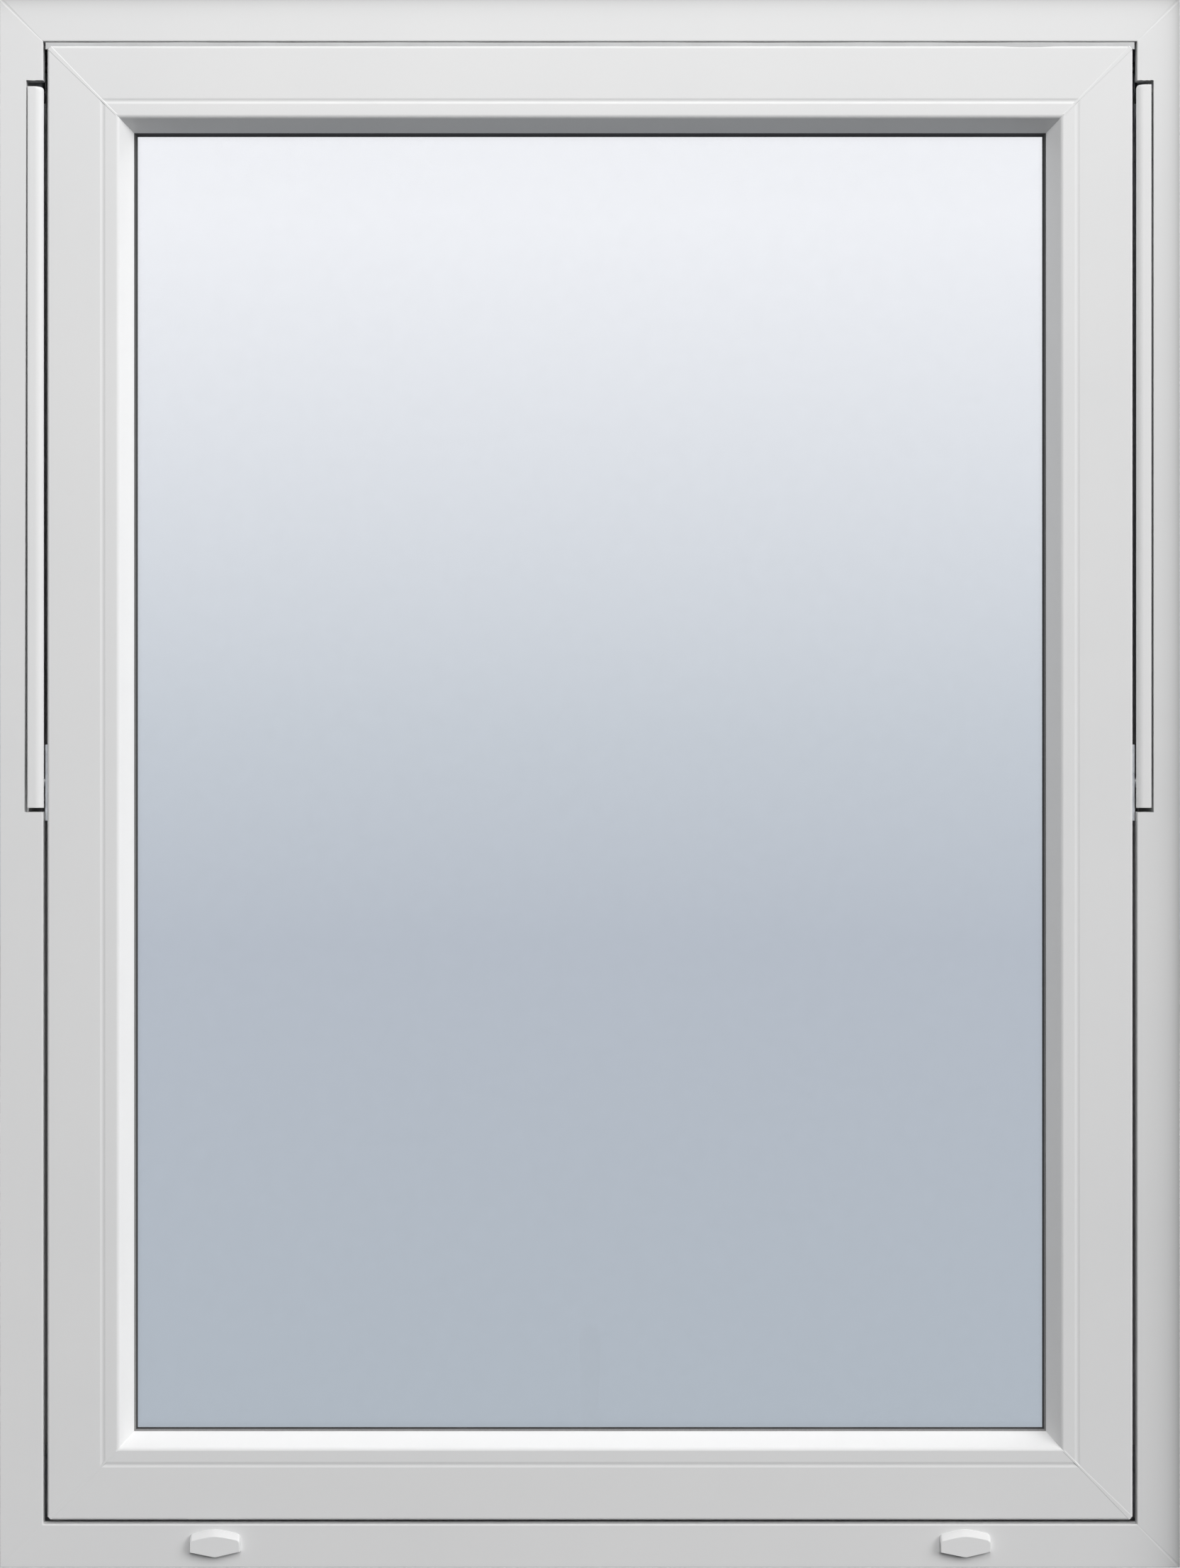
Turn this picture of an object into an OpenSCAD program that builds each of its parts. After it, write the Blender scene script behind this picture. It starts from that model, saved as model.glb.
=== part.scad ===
// Top-guided outward-opening window: a welded plastic outer frame, a flush glazed sash hung on two
// side arms, and two shoes that guide the sash's top corners down a track in each jamb.
// Millimetres. +Z is up and +Y points into the room. The origin is the middle of the sill's underside.

/* [Window] */
// Overall width of the outer frame
window_w = 990; // [800:10:1200]
// Overall height of the outer frame
window_h = 1316; // [1250:2:1500]
// Clear joint between the sash and the frame's face
joint_gap = 3.5; // [3:0.5:5]

/* [Outer frame profile] */
// Depth of the frame from its outside face to its room face
frame_depth = 105; // [98:1:120]
// Width of the frame's outside face
face_w = 36; // [36:0.5:40]
// Thickness of the lip that hides the hardware gap
lip_t = 11; // [9:0.5:11]
// Height of the rebate floor above the frame's outer edge
floor_h = 22; // [21:0.5:23]
// Height of the stop that the sash closes against
stop_h = 48; // [46:1:52]
// Wall thickness of the profiles
wall = 3; // [2.5:0.1:3]

/* [Sash profile] */
// Depth of the sash from its outside face to its room face
sash_depth = 66; // [66:1:68]
// Width from the sash's edge to the visible glass line
sash_w = 70.5; // [70:0.5:74]
// Where the sloping edge meets the sash's face, from the sash's edge
slope_foot = 59.8; // [58:0.1:61]
// Height of the glazing rebate floor above the sash's edge
rebate_h = 50; // [49:0.5:51]
// Depth of the glass behind the sash's outside face
glass_set = 20; // [19:0.5:21]
// Thickness of each pane
pane_t = 4; // [4:1:5]
// Gap between the panes
cavity = 16; // [14:1:16]

/* [Side arms and guides] */
// Distance of the arm's upper pivot below the top of the frame
pivot_drop = 82; // [80:1:90]
// Distance of the shoe pivot below the top of the frame
shoe_drop = 50; // [48:1:54]
// Depth of the arm's upper pivot behind the outside face
pivot_set = 9.5; // [9.5:0.5:10]
// Depth of the arm's lower pivot behind the outside face
arm_foot_set = 14; // [13:0.5:16]
// Depth of the track and of the lock rods behind the outside face
hardware_set = 40; // [39:0.5:41]
// Diameter of the pivot pins
pin_d = 6; // [5:0.5:6]
// Lowest point of the notch in the frame's lip
notch_bottom = 633.5; // [620:0.5:640]

/* [Lock] */
// Height of the handle's axis above the sash's edge
handle_rise = 27; // [27:0.5:28]
// Module of the gear teeth
tooth_module = 1.25; // [1.25:0.05:1.3]
// Number of teeth on a full pinion
pinion_teeth = 16; // [16:1:16]

/* [Fixings] */
// Diameter of the fixing holes through each jamb
fixing_d = 7.5; // [6:0.5:8]
// Spacing of the three fixing holes up each jamb
fixing_pitch = 458; // [400:2:500]
// Depth of the fixing holes behind the outside face
fixing_set = 57; // [56:0.5:58]

/* [Hidden] */
$fn = 48;

sash_edge = face_w + joint_gap;
sash_outer_w = window_w - 2 * sash_edge;
sash_outer_h = window_h - 2 * sash_edge;
stop_set = sash_depth + 4;
glass_rise = rebate_h + 5;
slope_depth = glass_set - 4;
glass_back = glass_set + 2 * pane_t + cavity;
bead_set = glass_back + 2;
pivot_z = window_h - pivot_drop;
shoe_z = window_h - shoe_drop;
foot_z = window_h / 2;
notch_top = pivot_z + 13.5;
arm_in = 31;
arm_t = 4;
cover_in = 23.4;
cover_out = face_w + 0.2;
cover_top = pivot_z + 8.5;
cover_bottom = notch_bottom + 3.5;
track_w = 24;
track_d = 8.5;
plate_t = 3;
pinion_r = tooth_module * pinion_teeth / 2;
handle_z = sash_edge + handle_rise;
rod_rise = 6.3;
rod_d = 7;
running = 0.05;
cap_x = 314.5;
right_drop = 16;
over = 1;

white = [0.93, 0.93, 0.92];
black_rubber = [0.06, 0.06, 0.06];
grey_rubber = [0.72, 0.72, 0.71];
zinc = [0.70, 0.71, 0.72];
alloy = [0.78, 0.79, 0.80];

// ---------- helpers ----------

// Points along an arc, from angle a0 to a1
function arc(c, r, a0, a1, n = 6) =
  [for (i = [0:n]) c + r * [cos(a0 + (a1 - a0) * i / n), sin(a0 + (a1 - a0) * i / n)]];

function box_points(d0, d1, h0, h1) = [[d0, h0], [d1, h0], [d1, h1], [d0, h1]];

// Model coordinates have y = 0 at the outside face; this moves them to the shared origin
module in_place() { translate([0, -frame_depth / 2, 0]) children(); }

module mirrored() { mirror([1, 0, 0]) children(); }

// A length of profile along X, its ends mitred at 45 degrees. The 2D child is drawn as [depth, rise]
module mitred(length, low, high, depth = 200) {
  intersection() {
    rotate([90, 0, 90]) translate([0, 0, -length / 2 - 20]) linear_extrude(length + 40) children();
    translate([0, depth, 0]) rotate([90, 0, 0]) linear_extrude(2 * depth)
      polygon([
        [-length / 2 + low, low], [length / 2 - low, low],
        [length / 2 - high, high], [-length / 2 + high, high]
      ]);
  }
}

// Moves a length drawn on the bottom edge of a w by h ring to one of its four sides
module on_side(side, w, h, z0 = 0) {
  if (side == "bottom") translate([0, 0, z0]) children();
  if (side == "top") translate([0, 0, z0 + h]) rotate([0, 180, 0]) children();
  if (side == "left") translate([-w / 2, 0, z0 + h / 2]) rotate([0, 90, 0]) children();
  if (side == "right") translate([w / 2, 0, z0 + h / 2]) rotate([0, -90, 0]) children();
}

function side_length(side, w, h) = (side == "left" || side == "right") ? h : w;

module frame_side(side, low, high) {
  on_side(side, window_w, window_h)
    mitred(side_length(side, window_w, window_h), low, high) children();
}

module sash_side(side, low, high) {
  on_side(side, sash_outer_w, sash_outer_h, sash_edge)
    mitred(side_length(side, sash_outer_w, sash_outer_h), low, high) children();
}

// A cylinder along X, from rise0 to rise1 above the left outer edge of the frame
module across(rise0, rise1, d, y, z) {
  translate([-window_w / 2 + rise0, y, z]) rotate([0, 90, 0]) cylinder(d = d, h = rise1 - rise0);
}

// A block beside the left jamb, from rise0 to rise1 above the frame's outer edge
module jamb_block(rise0, rise1, y0, y1, z0, z1) {
  translate([-window_w / 2 + rise0, y0, z0]) cube([rise1 - rise0, y1 - y0, z1 - z0]);
}

// A countersunk screw driven along -X or +X, its head's face at x = 0 and its tip at x = length
module screw(length, d = 3.8, head_d = 7.2) {
  head_h = 1.7;
  rotate([0, 90, 0]) difference() {
    union() {
      cylinder(d1 = head_d, d2 = d, h = head_h);
      cylinder(d = d, h = length);
    }
    translate([0, 0, -over]) cylinder(d = 2.6, h = over + 1.1, $fn = 6);
  }
}

// The space that a screw takes, with a little room round it
module screw_hole(length, d = 3.8, head_d = 7.2) {
  rotate([0, 90, 0]) {
    cylinder(d1 = head_d + 0.2, d2 = d + 0.1, h = 1.7);
    translate([0, 0, -0.01]) cylinder(d = d + 0.1, h = length + 0.2);
  }
}

// ---------- outer frame ----------

frame_outline = concat(
  arc([1.5, 1.5], 1.5, 180, 270, 4),
  arc([frame_depth - 1.5, 1.5], 1.5, 270, 360, 4),
  arc([frame_depth - 3, stop_h - 3], 3, 0, 90, 6),
  arc([stop_set + 1, stop_h - 1], 1, 90, 180, 3),
  [[stop_set, 43.4], [stop_set + 4, 43.4], [stop_set + 4, 41], [stop_set, 41]],
  [[stop_set, floor_h], [lip_t, floor_h]],
  arc([lip_t - 1.5, face_w - 1.5], 1.5, 0, 90, 4),
  arc([1.5, face_w - 1.5], 1.5, 90, 180, 4)
);

steel_back = stop_set - 6;
frame_chambers = [
  box_points(wall, 27, wall, floor_h - wall),
  box_points(30, steel_back, wall, floor_h - wall),
  box_points(steel_back + wall, frame_depth - wall, wall, floor_h - wall),
  box_points(stop_set + 7, frame_depth - wall, floor_h, stop_h - wall),
  box_points(2.6, lip_t - 2.6, floor_h, face_w - 2.6)
];

module frame_section() {
  difference() {
    polygon(frame_outline);
    for (chamber = frame_chambers) polygon(chamber);
  }
}

module frame_length(side) { frame_side(side, 0, stop_h) frame_section(); }

// Heights of the hardware screws on a jamb, as [rise of the head's face, depth, height, length]
track_bottom = foot_z - 18;
track_top = window_h - floor_h - 6;
track_screws = [for (i = [0:3])
  [floor_h + 2.4, hardware_set, track_bottom + 60 + i * (shoe_z - 55 - track_bottom - 60) / 3, 13]];
pivot_screws = [for (i = [0:2]) [floor_h + plate_t, 9.5 + 9 * (i % 2), pivot_z - 45 + 14 * i, 12]];
keep_z = sash_edge + rod_rise;
keep_screws = [for (i = [0:1]) [floor_h + 12, hardware_set, keep_z + 14 + 22 * i, 22]];

module jamb_screw_places() {
  for (s = concat(track_screws, pivot_screws, keep_screws))
    translate([-window_w / 2 + s[0], s[1], s[2]]) rotate([0, 180, 0]) children();
}

module jamb_screws() {
  for (s = concat(track_screws, pivot_screws, keep_screws))
    translate([-window_w / 2 + s[0], s[1], s[2]]) rotate([0, 180, 0]) screw(s[3]);
}

module jamb_screw_holes() {
  for (s = concat(track_screws, pivot_screws, keep_screws))
    translate([-window_w / 2 + s[0], s[1], s[2]]) rotate([0, 180, 0]) screw_hole(s[3]);
}

module fixing_holes(drop) {
  for (i = [-1:1])
    across(-over, floor_h + over, fixing_d, fixing_set, foot_z - drop + i * fixing_pitch);
}

// The opening in the lip that lets the side arm swing out. Its outer side leans by slant
module arm_notch(slant) {
  translate([-window_w / 2, lip_t + over, 0]) rotate([90, 0, 0]) linear_extrude(lip_t + 2 * over)
    polygon([
      [floor_h - slant, notch_bottom], [face_w + over, notch_bottom],
      [face_w + over, notch_top], [floor_h, notch_top]
    ]);
}

module frame_head() { color(white) in_place() frame_length("top"); }

module frame_sill() {
  color(white) in_place() difference() {
    frame_length("bottom");
    for (s = [-1, 1]) {
      translate([s * cap_x - 14, -over, 12]) cube([28, wall + 2 * over, 4]);
      translate([s * 190 - 14, 16, floor_h - wall - over]) cube([28, 4, wall + 2 * over]);
    }
  }
}

module frame_jamb(slant, drop) {
  difference() {
    frame_length("left");
    arm_notch(slant);
    fixing_holes(drop);
    jamb_screw_holes();
  }
}

module frame_jamb_left() { color(white) in_place() frame_jamb(1.6, 0); }
module frame_jamb_right() { color(white) in_place() mirrored() frame_jamb(0, right_drop); }

module steel_tube(length, y0, y1, rise0, rise1, t = 1.5) {
  translate([-length / 2, 0, 0]) rotate([90, 0, 90]) linear_extrude(length) difference() {
    polygon(box_points(y0, y1, rise0, rise1));
    polygon(box_points(y0 + t, y1 - t, rise0 + t, rise1 - t));
  }
}

module frame_steel_on(side) {
  on_side(side, window_w, window_h)
    steel_tube(side_length(side, window_w, window_h) - 120, 30.25, steel_back - 0.25,
               wall + 0.25, floor_h - wall - 0.25);
}

module frame_steel() {
  color(zinc) in_place() {
    for (side = ["top", "bottom"]) frame_steel_on(side);
    difference() {
      frame_steel_on("left");
      fixing_holes(0);
      jamb_screw_holes();
    }
    mirrored() difference() {
      frame_steel_on("left");
      fixing_holes(right_drop);
      jamb_screw_holes();
    }
  }
}

module frame_gasket() {
  color(black_rubber) in_place()
    for (side = ["top", "bottom", "left", "right"]) frame_side(side, 38, 46)
      polygon(concat(
        [[stop_set + 3.8, 41.2], [stop_set + 3.8, 43.2], [stop_set, 43.2], [stop_set, 43.6]],
        arc([stop_set - 0.1, 42.2], 1.4, 90, 270, 8),
        [[stop_set, 40.8], [stop_set, 41.2]]
      ));
}

// A low pale fin along the sash's top edge, just behind its face
module head_seal() {
  length = sash_outer_w - 4;
  rise = joint_gap - 1.2;
  color(grey_rubber) in_place()
    translate([-length / 2, 0, window_h - sash_edge]) rotate([90, 0, 90]) linear_extrude(length)
      polygon(concat(
        [[4.3, 0.02], [8.3, 0.02]],
        arc([7.1, rise - 0.8], 0.8, 0, 90, 4), arc([5.5, rise - 0.8], 0.8, 90, 180, 4)
      ));
}

// A hood over a drain slot: a wide lozenge that leans back at the top and is open underneath
module drain_cap() {
  half_w = 21.5;
  side_h = 6.75;
  peak_h = 11.45;
  proud = 5.5;
  centre_z = 15.2 + 5.3;
  outline = concat(
    [[-half_w, -side_h], [0, -peak_h], [half_w, -side_h]],
    [for (i = [0:12]) [half_w - 2 * half_w * i / 12,
                       side_h + (peak_h - side_h) * pow(sin(180 * i / 12), 1.5)]]
  );
  translate([0, 0, centre_z]) {
    difference() {
      intersection() {
        rotate([90, 0, 0]) linear_extrude(proud) polygon(outline);
        rotate([90, 0, 90]) translate([0, 0, -half_w]) linear_extrude(2 * half_w)
          polygon([[0, -peak_h], [-proud, -peak_h + 0.7], [-proud, peak_h - 6], [-1.2, peak_h], [0, peak_h]]);
      }
      translate([-17, -proud + 1.8, -peak_h - over]) cube([34, proud, peak_h + over + 4]);
    }
    for (s = [-1, 1]) translate([s * 12 - 1.5, -proud + 1.6, -7.8]) cube([3, proud + 3.4, 1.6]);
  }
}

module drain_cap_left() { color(white) in_place() translate([-cap_x, 0, 0]) drain_cap(); }
module drain_cap_right() { color(white) in_place() translate([cap_x, 0, 0]) drain_cap(); }

// ---------- guide track, arms and pivots, drawn for the left jamb ----------

module guide_track() {
  inner = track_w - 3.6;
  slot = 12.4;
  difference() {
    jamb_block(floor_h, floor_h + track_d, hardware_set - track_w / 2, hardware_set + track_w / 2,
               track_bottom, track_top);
    jamb_block(floor_h + 2.4, floor_h + track_d - 1.6, hardware_set - inner / 2,
               hardware_set + inner / 2, track_bottom - over, track_top + over);
    jamb_block(floor_h + 2.4, floor_h + track_d + over, hardware_set - slot / 2,
               hardware_set + slot / 2, track_bottom - over, track_top + over);
    jamb_screw_holes();
  }
}

module guide_track_left() { color(alloy) in_place() guide_track(); }
module guide_track_right() { color(alloy) in_place() mirrored() guide_track(); }

module arm_pivot() {
  nose_r = 5.1;
  difference() {
    union() {
      jamb_block(floor_h, floor_h + plate_t, pivot_set - nose_r, 24, pivot_z - 52, pivot_z);
      jamb_block(floor_h, floor_h + plate_t, pivot_set, 24, pivot_z - over, pivot_z + nose_r);
      across(floor_h, floor_h + plate_t, 2 * nose_r, pivot_set, pivot_z);
    }
    jamb_screw_holes();
  }
  across(floor_h + plate_t, arm_in - 0.3, pin_d + 4, pivot_set, pivot_z);
  across(arm_in - 0.3, arm_in + arm_t + 0.2, pin_d, pivot_set, pivot_z);
  across(arm_in + arm_t + 0.2, arm_in + arm_t + 1.2, pin_d + 3, pivot_set, pivot_z);
}

module arm_pivot_left() { color(zinc) in_place() arm_pivot(); }
module arm_pivot_right() { color(zinc) in_place() mirrored() arm_pivot(); }

cover_screw_z = [for (i = [0:2]) foot_z + 60 + i * (pivot_z - foot_z - 160) / 2];

module cover_screws() {
  for (z = cover_screw_z)
    translate([-window_w / 2 + arm_in - 3.3, 11.5, z]) screw(3.3 + arm_t - 0.2, 3, 5.4);
}

module cover_screw_holes() {
  for (z = cover_screw_z)
    translate([-window_w / 2 + arm_in - 3.3, 11.5, z]) screw_hole(3.3 + arm_t, 3, 5.4);
}

// The flat steel arm, from its pivot on the frame down to its pivot on the sash
module side_arm() {
  top_r = 5.3;
  foot_r = 8;
  difference() {
    translate([-window_w / 2 + arm_in, 0, 0]) rotate([90, 0, 90]) linear_extrude(arm_t) union() {
      translate([pivot_set, pivot_z]) circle(top_r);
      translate([arm_foot_set, foot_z]) circle(foot_r);
      polygon([
        [pivot_set - top_r, pivot_z], [arm_foot_set - foot_r, foot_z],
        [arm_foot_set + foot_r, foot_z], [pivot_set + top_r, pivot_z]
      ]);
    }
    across(arm_in - over, arm_in + arm_t + over, pin_d + 2 * running, pivot_set, pivot_z);
    across(arm_in - over, arm_in + arm_t + over, pin_d + 2 * running, arm_foot_set, foot_z);
    cover_screw_holes();
  }
}

module arm_left() { color(zinc) in_place() side_arm(); }
module arm_right() { color(zinc) in_place() mirrored() side_arm(); }

// The cover strip that fills the notch, with the leg that screws to the arm
module arm_cover() {
  face = concat(
    [[0.6, cover_in], [0, cover_in + 0.6]],
    [for (i = [0:8]) let (x = 29 + (cover_out - 29) * i / 8) [9 - sqrt(81 - pow(x - 29, 2)), x]],
    [[3.8, cover_out], [3.8, cover_in]]
  );
  leg_bottom = foot_z + 16;
  leg_top = pivot_z - 58;
  difference() {
    union() {
      translate([-window_w / 2, 0, cover_bottom]) linear_extrude(cover_top - cover_bottom)
        polygon([for (p = face) [p[1], p[0]]]);
      jamb_block(arm_in - 3.4, arm_in - 0.1, 3.8, 16, leg_bottom, leg_top);
    }
    cover_screw_holes();
  }
}

module arm_cover_left() { color(white) in_place() arm_cover(); }
module arm_cover_right() { color(white) in_place() mirrored() arm_cover(); }
module arm_cover_screws_left() { color(zinc) in_place() cover_screws(); }
module arm_cover_screws_right() { color(zinc) in_place() mirrored() cover_screws(); }

// The block that takes the end of a lock rod, screwed to the jamb's rebate floor
module bolt_keep() {
  difference() {
    jamb_block(floor_h, floor_h + 12, hardware_set - 10, hardware_set + 10, keep_z - 12, keep_z + 44);
    across(floor_h + 1.5, floor_h + 13, rod_d + 1.4, hardware_set, keep_z);
    jamb_screw_holes();
  }
}

module bolt_keep_left() { color(zinc) in_place() bolt_keep(); }
module bolt_keep_right() { color(zinc) in_place() mirrored() bolt_keep(); }

module frame_screws() {
  color(zinc) in_place() {
    jamb_screws();
    mirrored() jamb_screws();
  }
}

// ---------- sash ----------

slope_angle = atan2(slope_depth, sash_w - slope_foot);
slope_r = 4;
slope_start = slope_foot - slope_r * tan(slope_angle / 2);
groove_in = hardware_set - 6;
groove_out = hardware_set + 6;

sash_outline = concat(
  arc([3, 3], 3, 180, 270, 6),
  [[groove_in - 2.2, 0], [groove_in - 2.2, 2.6], [groove_in, 2.6], [groove_in, 10]],
  [[groove_out, 10], [groove_out, 2.6], [groove_out + 2.2, 2.6], [groove_out + 2.2, 0]],
  arc([sash_depth - 2, 2], 2, 270, 360, 4),
  arc([sash_depth - 1, rebate_h - 1], 1, 0, 90, 3),
  [[59.1, rebate_h], [59.1, rebate_h - 4.1], [55.9, rebate_h - 4.1], [55.9, rebate_h]],
  [[glass_set - 2, rebate_h], [glass_set - 2, sash_w], [slope_depth, sash_w]],
  arc([slope_r, slope_start], slope_r, 180 - slope_angle, 180, 6),
  [[0, 48.9], [0.9, 47.2], [0.9, 45.8], [0, 44.1]]
);

sash_chambers = [
  box_points(wall, 19, wall, rebate_h - wall),
  [[3.2, rebate_h + 0.4], [15, rebate_h + 0.4], [15, sash_w - 5.2], [3.2, slope_foot - 2.6]],
  box_points(22, 52, 13, rebate_h - wall),
  box_points(55, sash_depth - wall, wall, rebate_h - 7.2),
  box_points(22, groove_in - 5, wall, 10)
];

module sash_section() {
  difference() {
    polygon(sash_outline);
    for (chamber = sash_chambers) polygon(chamber);
  }
}

module sash_length(side) { sash_side(side, 0, sash_w) sash_section(); }

foot_screws = [for (s = [-1, 1], t = [-1, 1])
  [sash_edge - plate_t, arm_foot_set + 3 + 5 * t, foot_z + (19 + 4 * t) * s, 14]];
shoe_screws = [for (i = [0:1]) [sash_edge - plate_t, hardware_set, shoe_z - 20 - 16 * i, 20]];

module stile_screws() {
  for (s = concat(foot_screws, shoe_screws))
    translate([-window_w / 2 + s[0], s[1], s[2]]) screw(s[3]);
}

module stile_screw_holes() {
  for (s = concat(foot_screws, shoe_screws))
    translate([-window_w / 2 + s[0], s[1], s[2]]) screw_hole(s[3]);
}

module sash_stile() {
  difference() {
    sash_length("left");
    stile_screw_holes();
  }
}

// Cut-outs in the bottom rail for the lock case, the spindle and the handle's screws
module lock_cuts() {
  translate([-78, hardware_set - 7, sash_edge - over]) cube([156, 14, 45 + over]);
  translate([0, sash_depth + over, handle_z]) rotate([90, 0, 0])
    cylinder(d = 12, h = sash_depth + over - hardware_set);
  for (s = [-1, 1]) translate([s * 21.5, sash_depth + over, handle_z]) rotate([90, 0, 0])
    cylinder(d = 4.9, h = 22);
}

module sash_top_rail() { color(white) in_place() sash_length("top"); }
module sash_stile_left() { color(white) in_place() sash_stile(); }
module sash_stile_right() { color(white) in_place() mirrored() sash_stile(); }

module sash_bottom_rail() {
  color(white) in_place() difference() {
    sash_length("bottom");
    lock_cuts();
  }
}

module sash_steel_on(side) {
  on_side(side, sash_outer_w, sash_outer_h, sash_edge)
    steel_tube(side_length(side, sash_outer_w, sash_outer_h) - 180, 22.25, 51.75,
               13.25, rebate_h - wall - 0.25);
}

module sash_steel() {
  color(zinc) in_place() {
    sash_steel_on("top");
    difference() {
      sash_steel_on("bottom");
      lock_cuts();
    }
    difference() {
      sash_steel_on("left");
      stile_screw_holes();
    }
    mirrored() difference() {
      sash_steel_on("left");
      stile_screw_holes();
    }
  }
}

pane_w = sash_outer_w - 2 * glass_rise;
pane_h = sash_outer_h - 2 * glass_rise;

module pane(y) {
  translate([-pane_w / 2, y, sash_edge + glass_rise]) cube([pane_w, pane_t, pane_h]);
}

// A rectangular band round the glass, from rise0 to rise1 above the sash's edge
module band(y0, y1, rise0, rise1) {
  difference() {
    translate([-sash_outer_w / 2 + rise0, y0, sash_edge + rise0])
      cube([sash_outer_w - 2 * rise0, y1 - y0, sash_outer_h - 2 * rise0]);
    translate([-sash_outer_w / 2 + rise1, y0 - over, sash_edge + rise1])
      cube([sash_outer_w - 2 * rise1, y1 - y0 + 2 * over, sash_outer_h - 2 * rise1]);
  }
}

module glass_outer_pane() { color([0.75, 0.82, 0.88, 0.4]) in_place() pane(glass_set); }
module glass_inner_pane() { color([0.75, 0.82, 0.88, 0.4]) in_place() pane(glass_back - pane_t); }

module glass_spacer() {
  color(zinc) in_place()
    band(glass_set + pane_t, glass_back - pane_t, glass_rise + 5, glass_rise + 12);
}

module glass_edge_seal() {
  color(black_rubber) in_place()
    band(glass_set + pane_t, glass_back - pane_t, glass_rise, glass_rise + 5);
}

bead_outline = concat(
  [[bead_set, rebate_h + 0.1], [56, rebate_h + 0.1], [56, rebate_h - 3.8]],
  [[59, rebate_h - 3.8], [59, rebate_h + 0.1], [sash_depth, rebate_h + 0.1]],
  arc([sash_depth - 2, sash_w - 9], 2, 0, 60, 4),
  arc([bead_set + 2, sash_w - 2.2], 2, 60, 180, 6)
);

module bead(side) {
  sash_side(side, rebate_h - 4, sash_w) difference() {
    polygon(bead_outline);
    polygon([[bead_set + 3, rebate_h + 3], [sash_depth - 3, rebate_h + 3],
             [sash_depth - 3, sash_w - 11], [bead_set + 3, sash_w - 5.5]]);
  }
}

module glazing_bead_top() { color(white) in_place() bead("top"); }
module glazing_bead_bottom() { color(white) in_place() bead("bottom"); }
module glazing_bead_left() { color(white) in_place() bead("left"); }
module glazing_bead_right() { color(white) in_place() bead("right"); }

module glazing_gasket_outer() {
  color(black_rubber) in_place()
    for (side = ["top", "bottom", "left", "right"]) sash_side(side, rebate_h, sash_w + 3)
      polygon([
        [glass_set - 2, sash_w - 11], [glass_set, sash_w - 11], [glass_set, sash_w + 2.2],
        [glass_set - 1.6, sash_w + 2.2], [slope_depth + 0.6, sash_w + 0.4],
        [slope_depth + 0.6, sash_w], [glass_set - 2, sash_w]
      ]);
}

module glazing_gasket_inner() {
  color(black_rubber) in_place()
    for (side = ["top", "bottom", "left", "right"]) sash_side(side, rebate_h, sash_w + 3)
      polygon([
        [glass_back, sash_w - 11], [bead_set, sash_w - 11], [bead_set, sash_w - 1.2],
        [bead_set + 1, sash_w], [glass_back + 1, sash_w + 1], [glass_back, sash_w + 1]
      ]);
}

// Blocks that carry the glass on the rebate floor and keep it square
module setting_blocks() {
  block_l = 80;
  color(black_rubber) in_place() for (side = ["top", "bottom", "left", "right"], s = [-1, 1])
    on_side(side, sash_outer_w, sash_outer_h, sash_edge)
      translate([s * (side_length(side, sash_outer_w, sash_outer_h) / 2 - 170) - block_l / 2,
                 glass_set, rebate_h])
        cube([block_l, glass_back - glass_set, glass_rise - rebate_h]);
}

// ---------- pivots on the sash and the shoes ----------

module sash_pivot() {
  difference() {
    jamb_block(sash_edge - plate_t, sash_edge, 7.5, 27, foot_z - 32, foot_z + 32);
    stile_screw_holes();
  }
  across(arm_in + arm_t + 0.2, sash_edge - plate_t, pin_d + 4, arm_foot_set, foot_z);
  across(arm_in - 0.2, arm_in + arm_t + 0.2, pin_d, arm_foot_set, foot_z);
  across(arm_in - 2, arm_in - 0.2, pin_d + 4, arm_foot_set, foot_z);
}

module sash_pivot_left() { color(zinc) in_place() sash_pivot(); }
module sash_pivot_right() { color(zinc) in_place() mirrored() sash_pivot(); }

shoe_in = floor_h + 2.9;
shoe_t = 3.6;
neck_out = floor_h + track_d + 1.6;

module shoe_bracket() {
  difference() {
    jamb_block(sash_edge - plate_t, sash_edge, hardware_set - 9, hardware_set + 9,
               shoe_z - 44, shoe_z + 8.5);
    stile_screw_holes();
  }
  across(shoe_in + 0.4, sash_edge - plate_t, pin_d, hardware_set, shoe_z);
}

module shoe_bracket_left() { color(zinc) in_place() shoe_bracket(); }
module shoe_bracket_right() { color(zinc) in_place() mirrored() shoe_bracket(); }

// The plastic shoe: a block inside the track, and a neck that holds the sash's guide pin
module guide_shoe() {
  difference() {
    union() {
      jamb_block(shoe_in, shoe_in + shoe_t, hardware_set - 8.8, hardware_set + 8.8,
                 shoe_z - 16, shoe_z + 16);
      across(shoe_in + shoe_t, neck_out, 9.6, hardware_set, shoe_z);
    }
    across(shoe_in - over, neck_out + over, pin_d + 2 * running, hardware_set, shoe_z);
  }
}

module guide_shoe_left() { color([0.12, 0.12, 0.13]) in_place() guide_shoe(); }
module guide_shoe_right() { color([0.12, 0.12, 0.13]) in_place() mirrored() guide_shoe(); }

module sash_screws() {
  color(zinc) in_place() {
    stile_screws();
    mirrored() stile_screws();
  }
}

// ---------- lock and handle ----------

case_half = 74;

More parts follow.
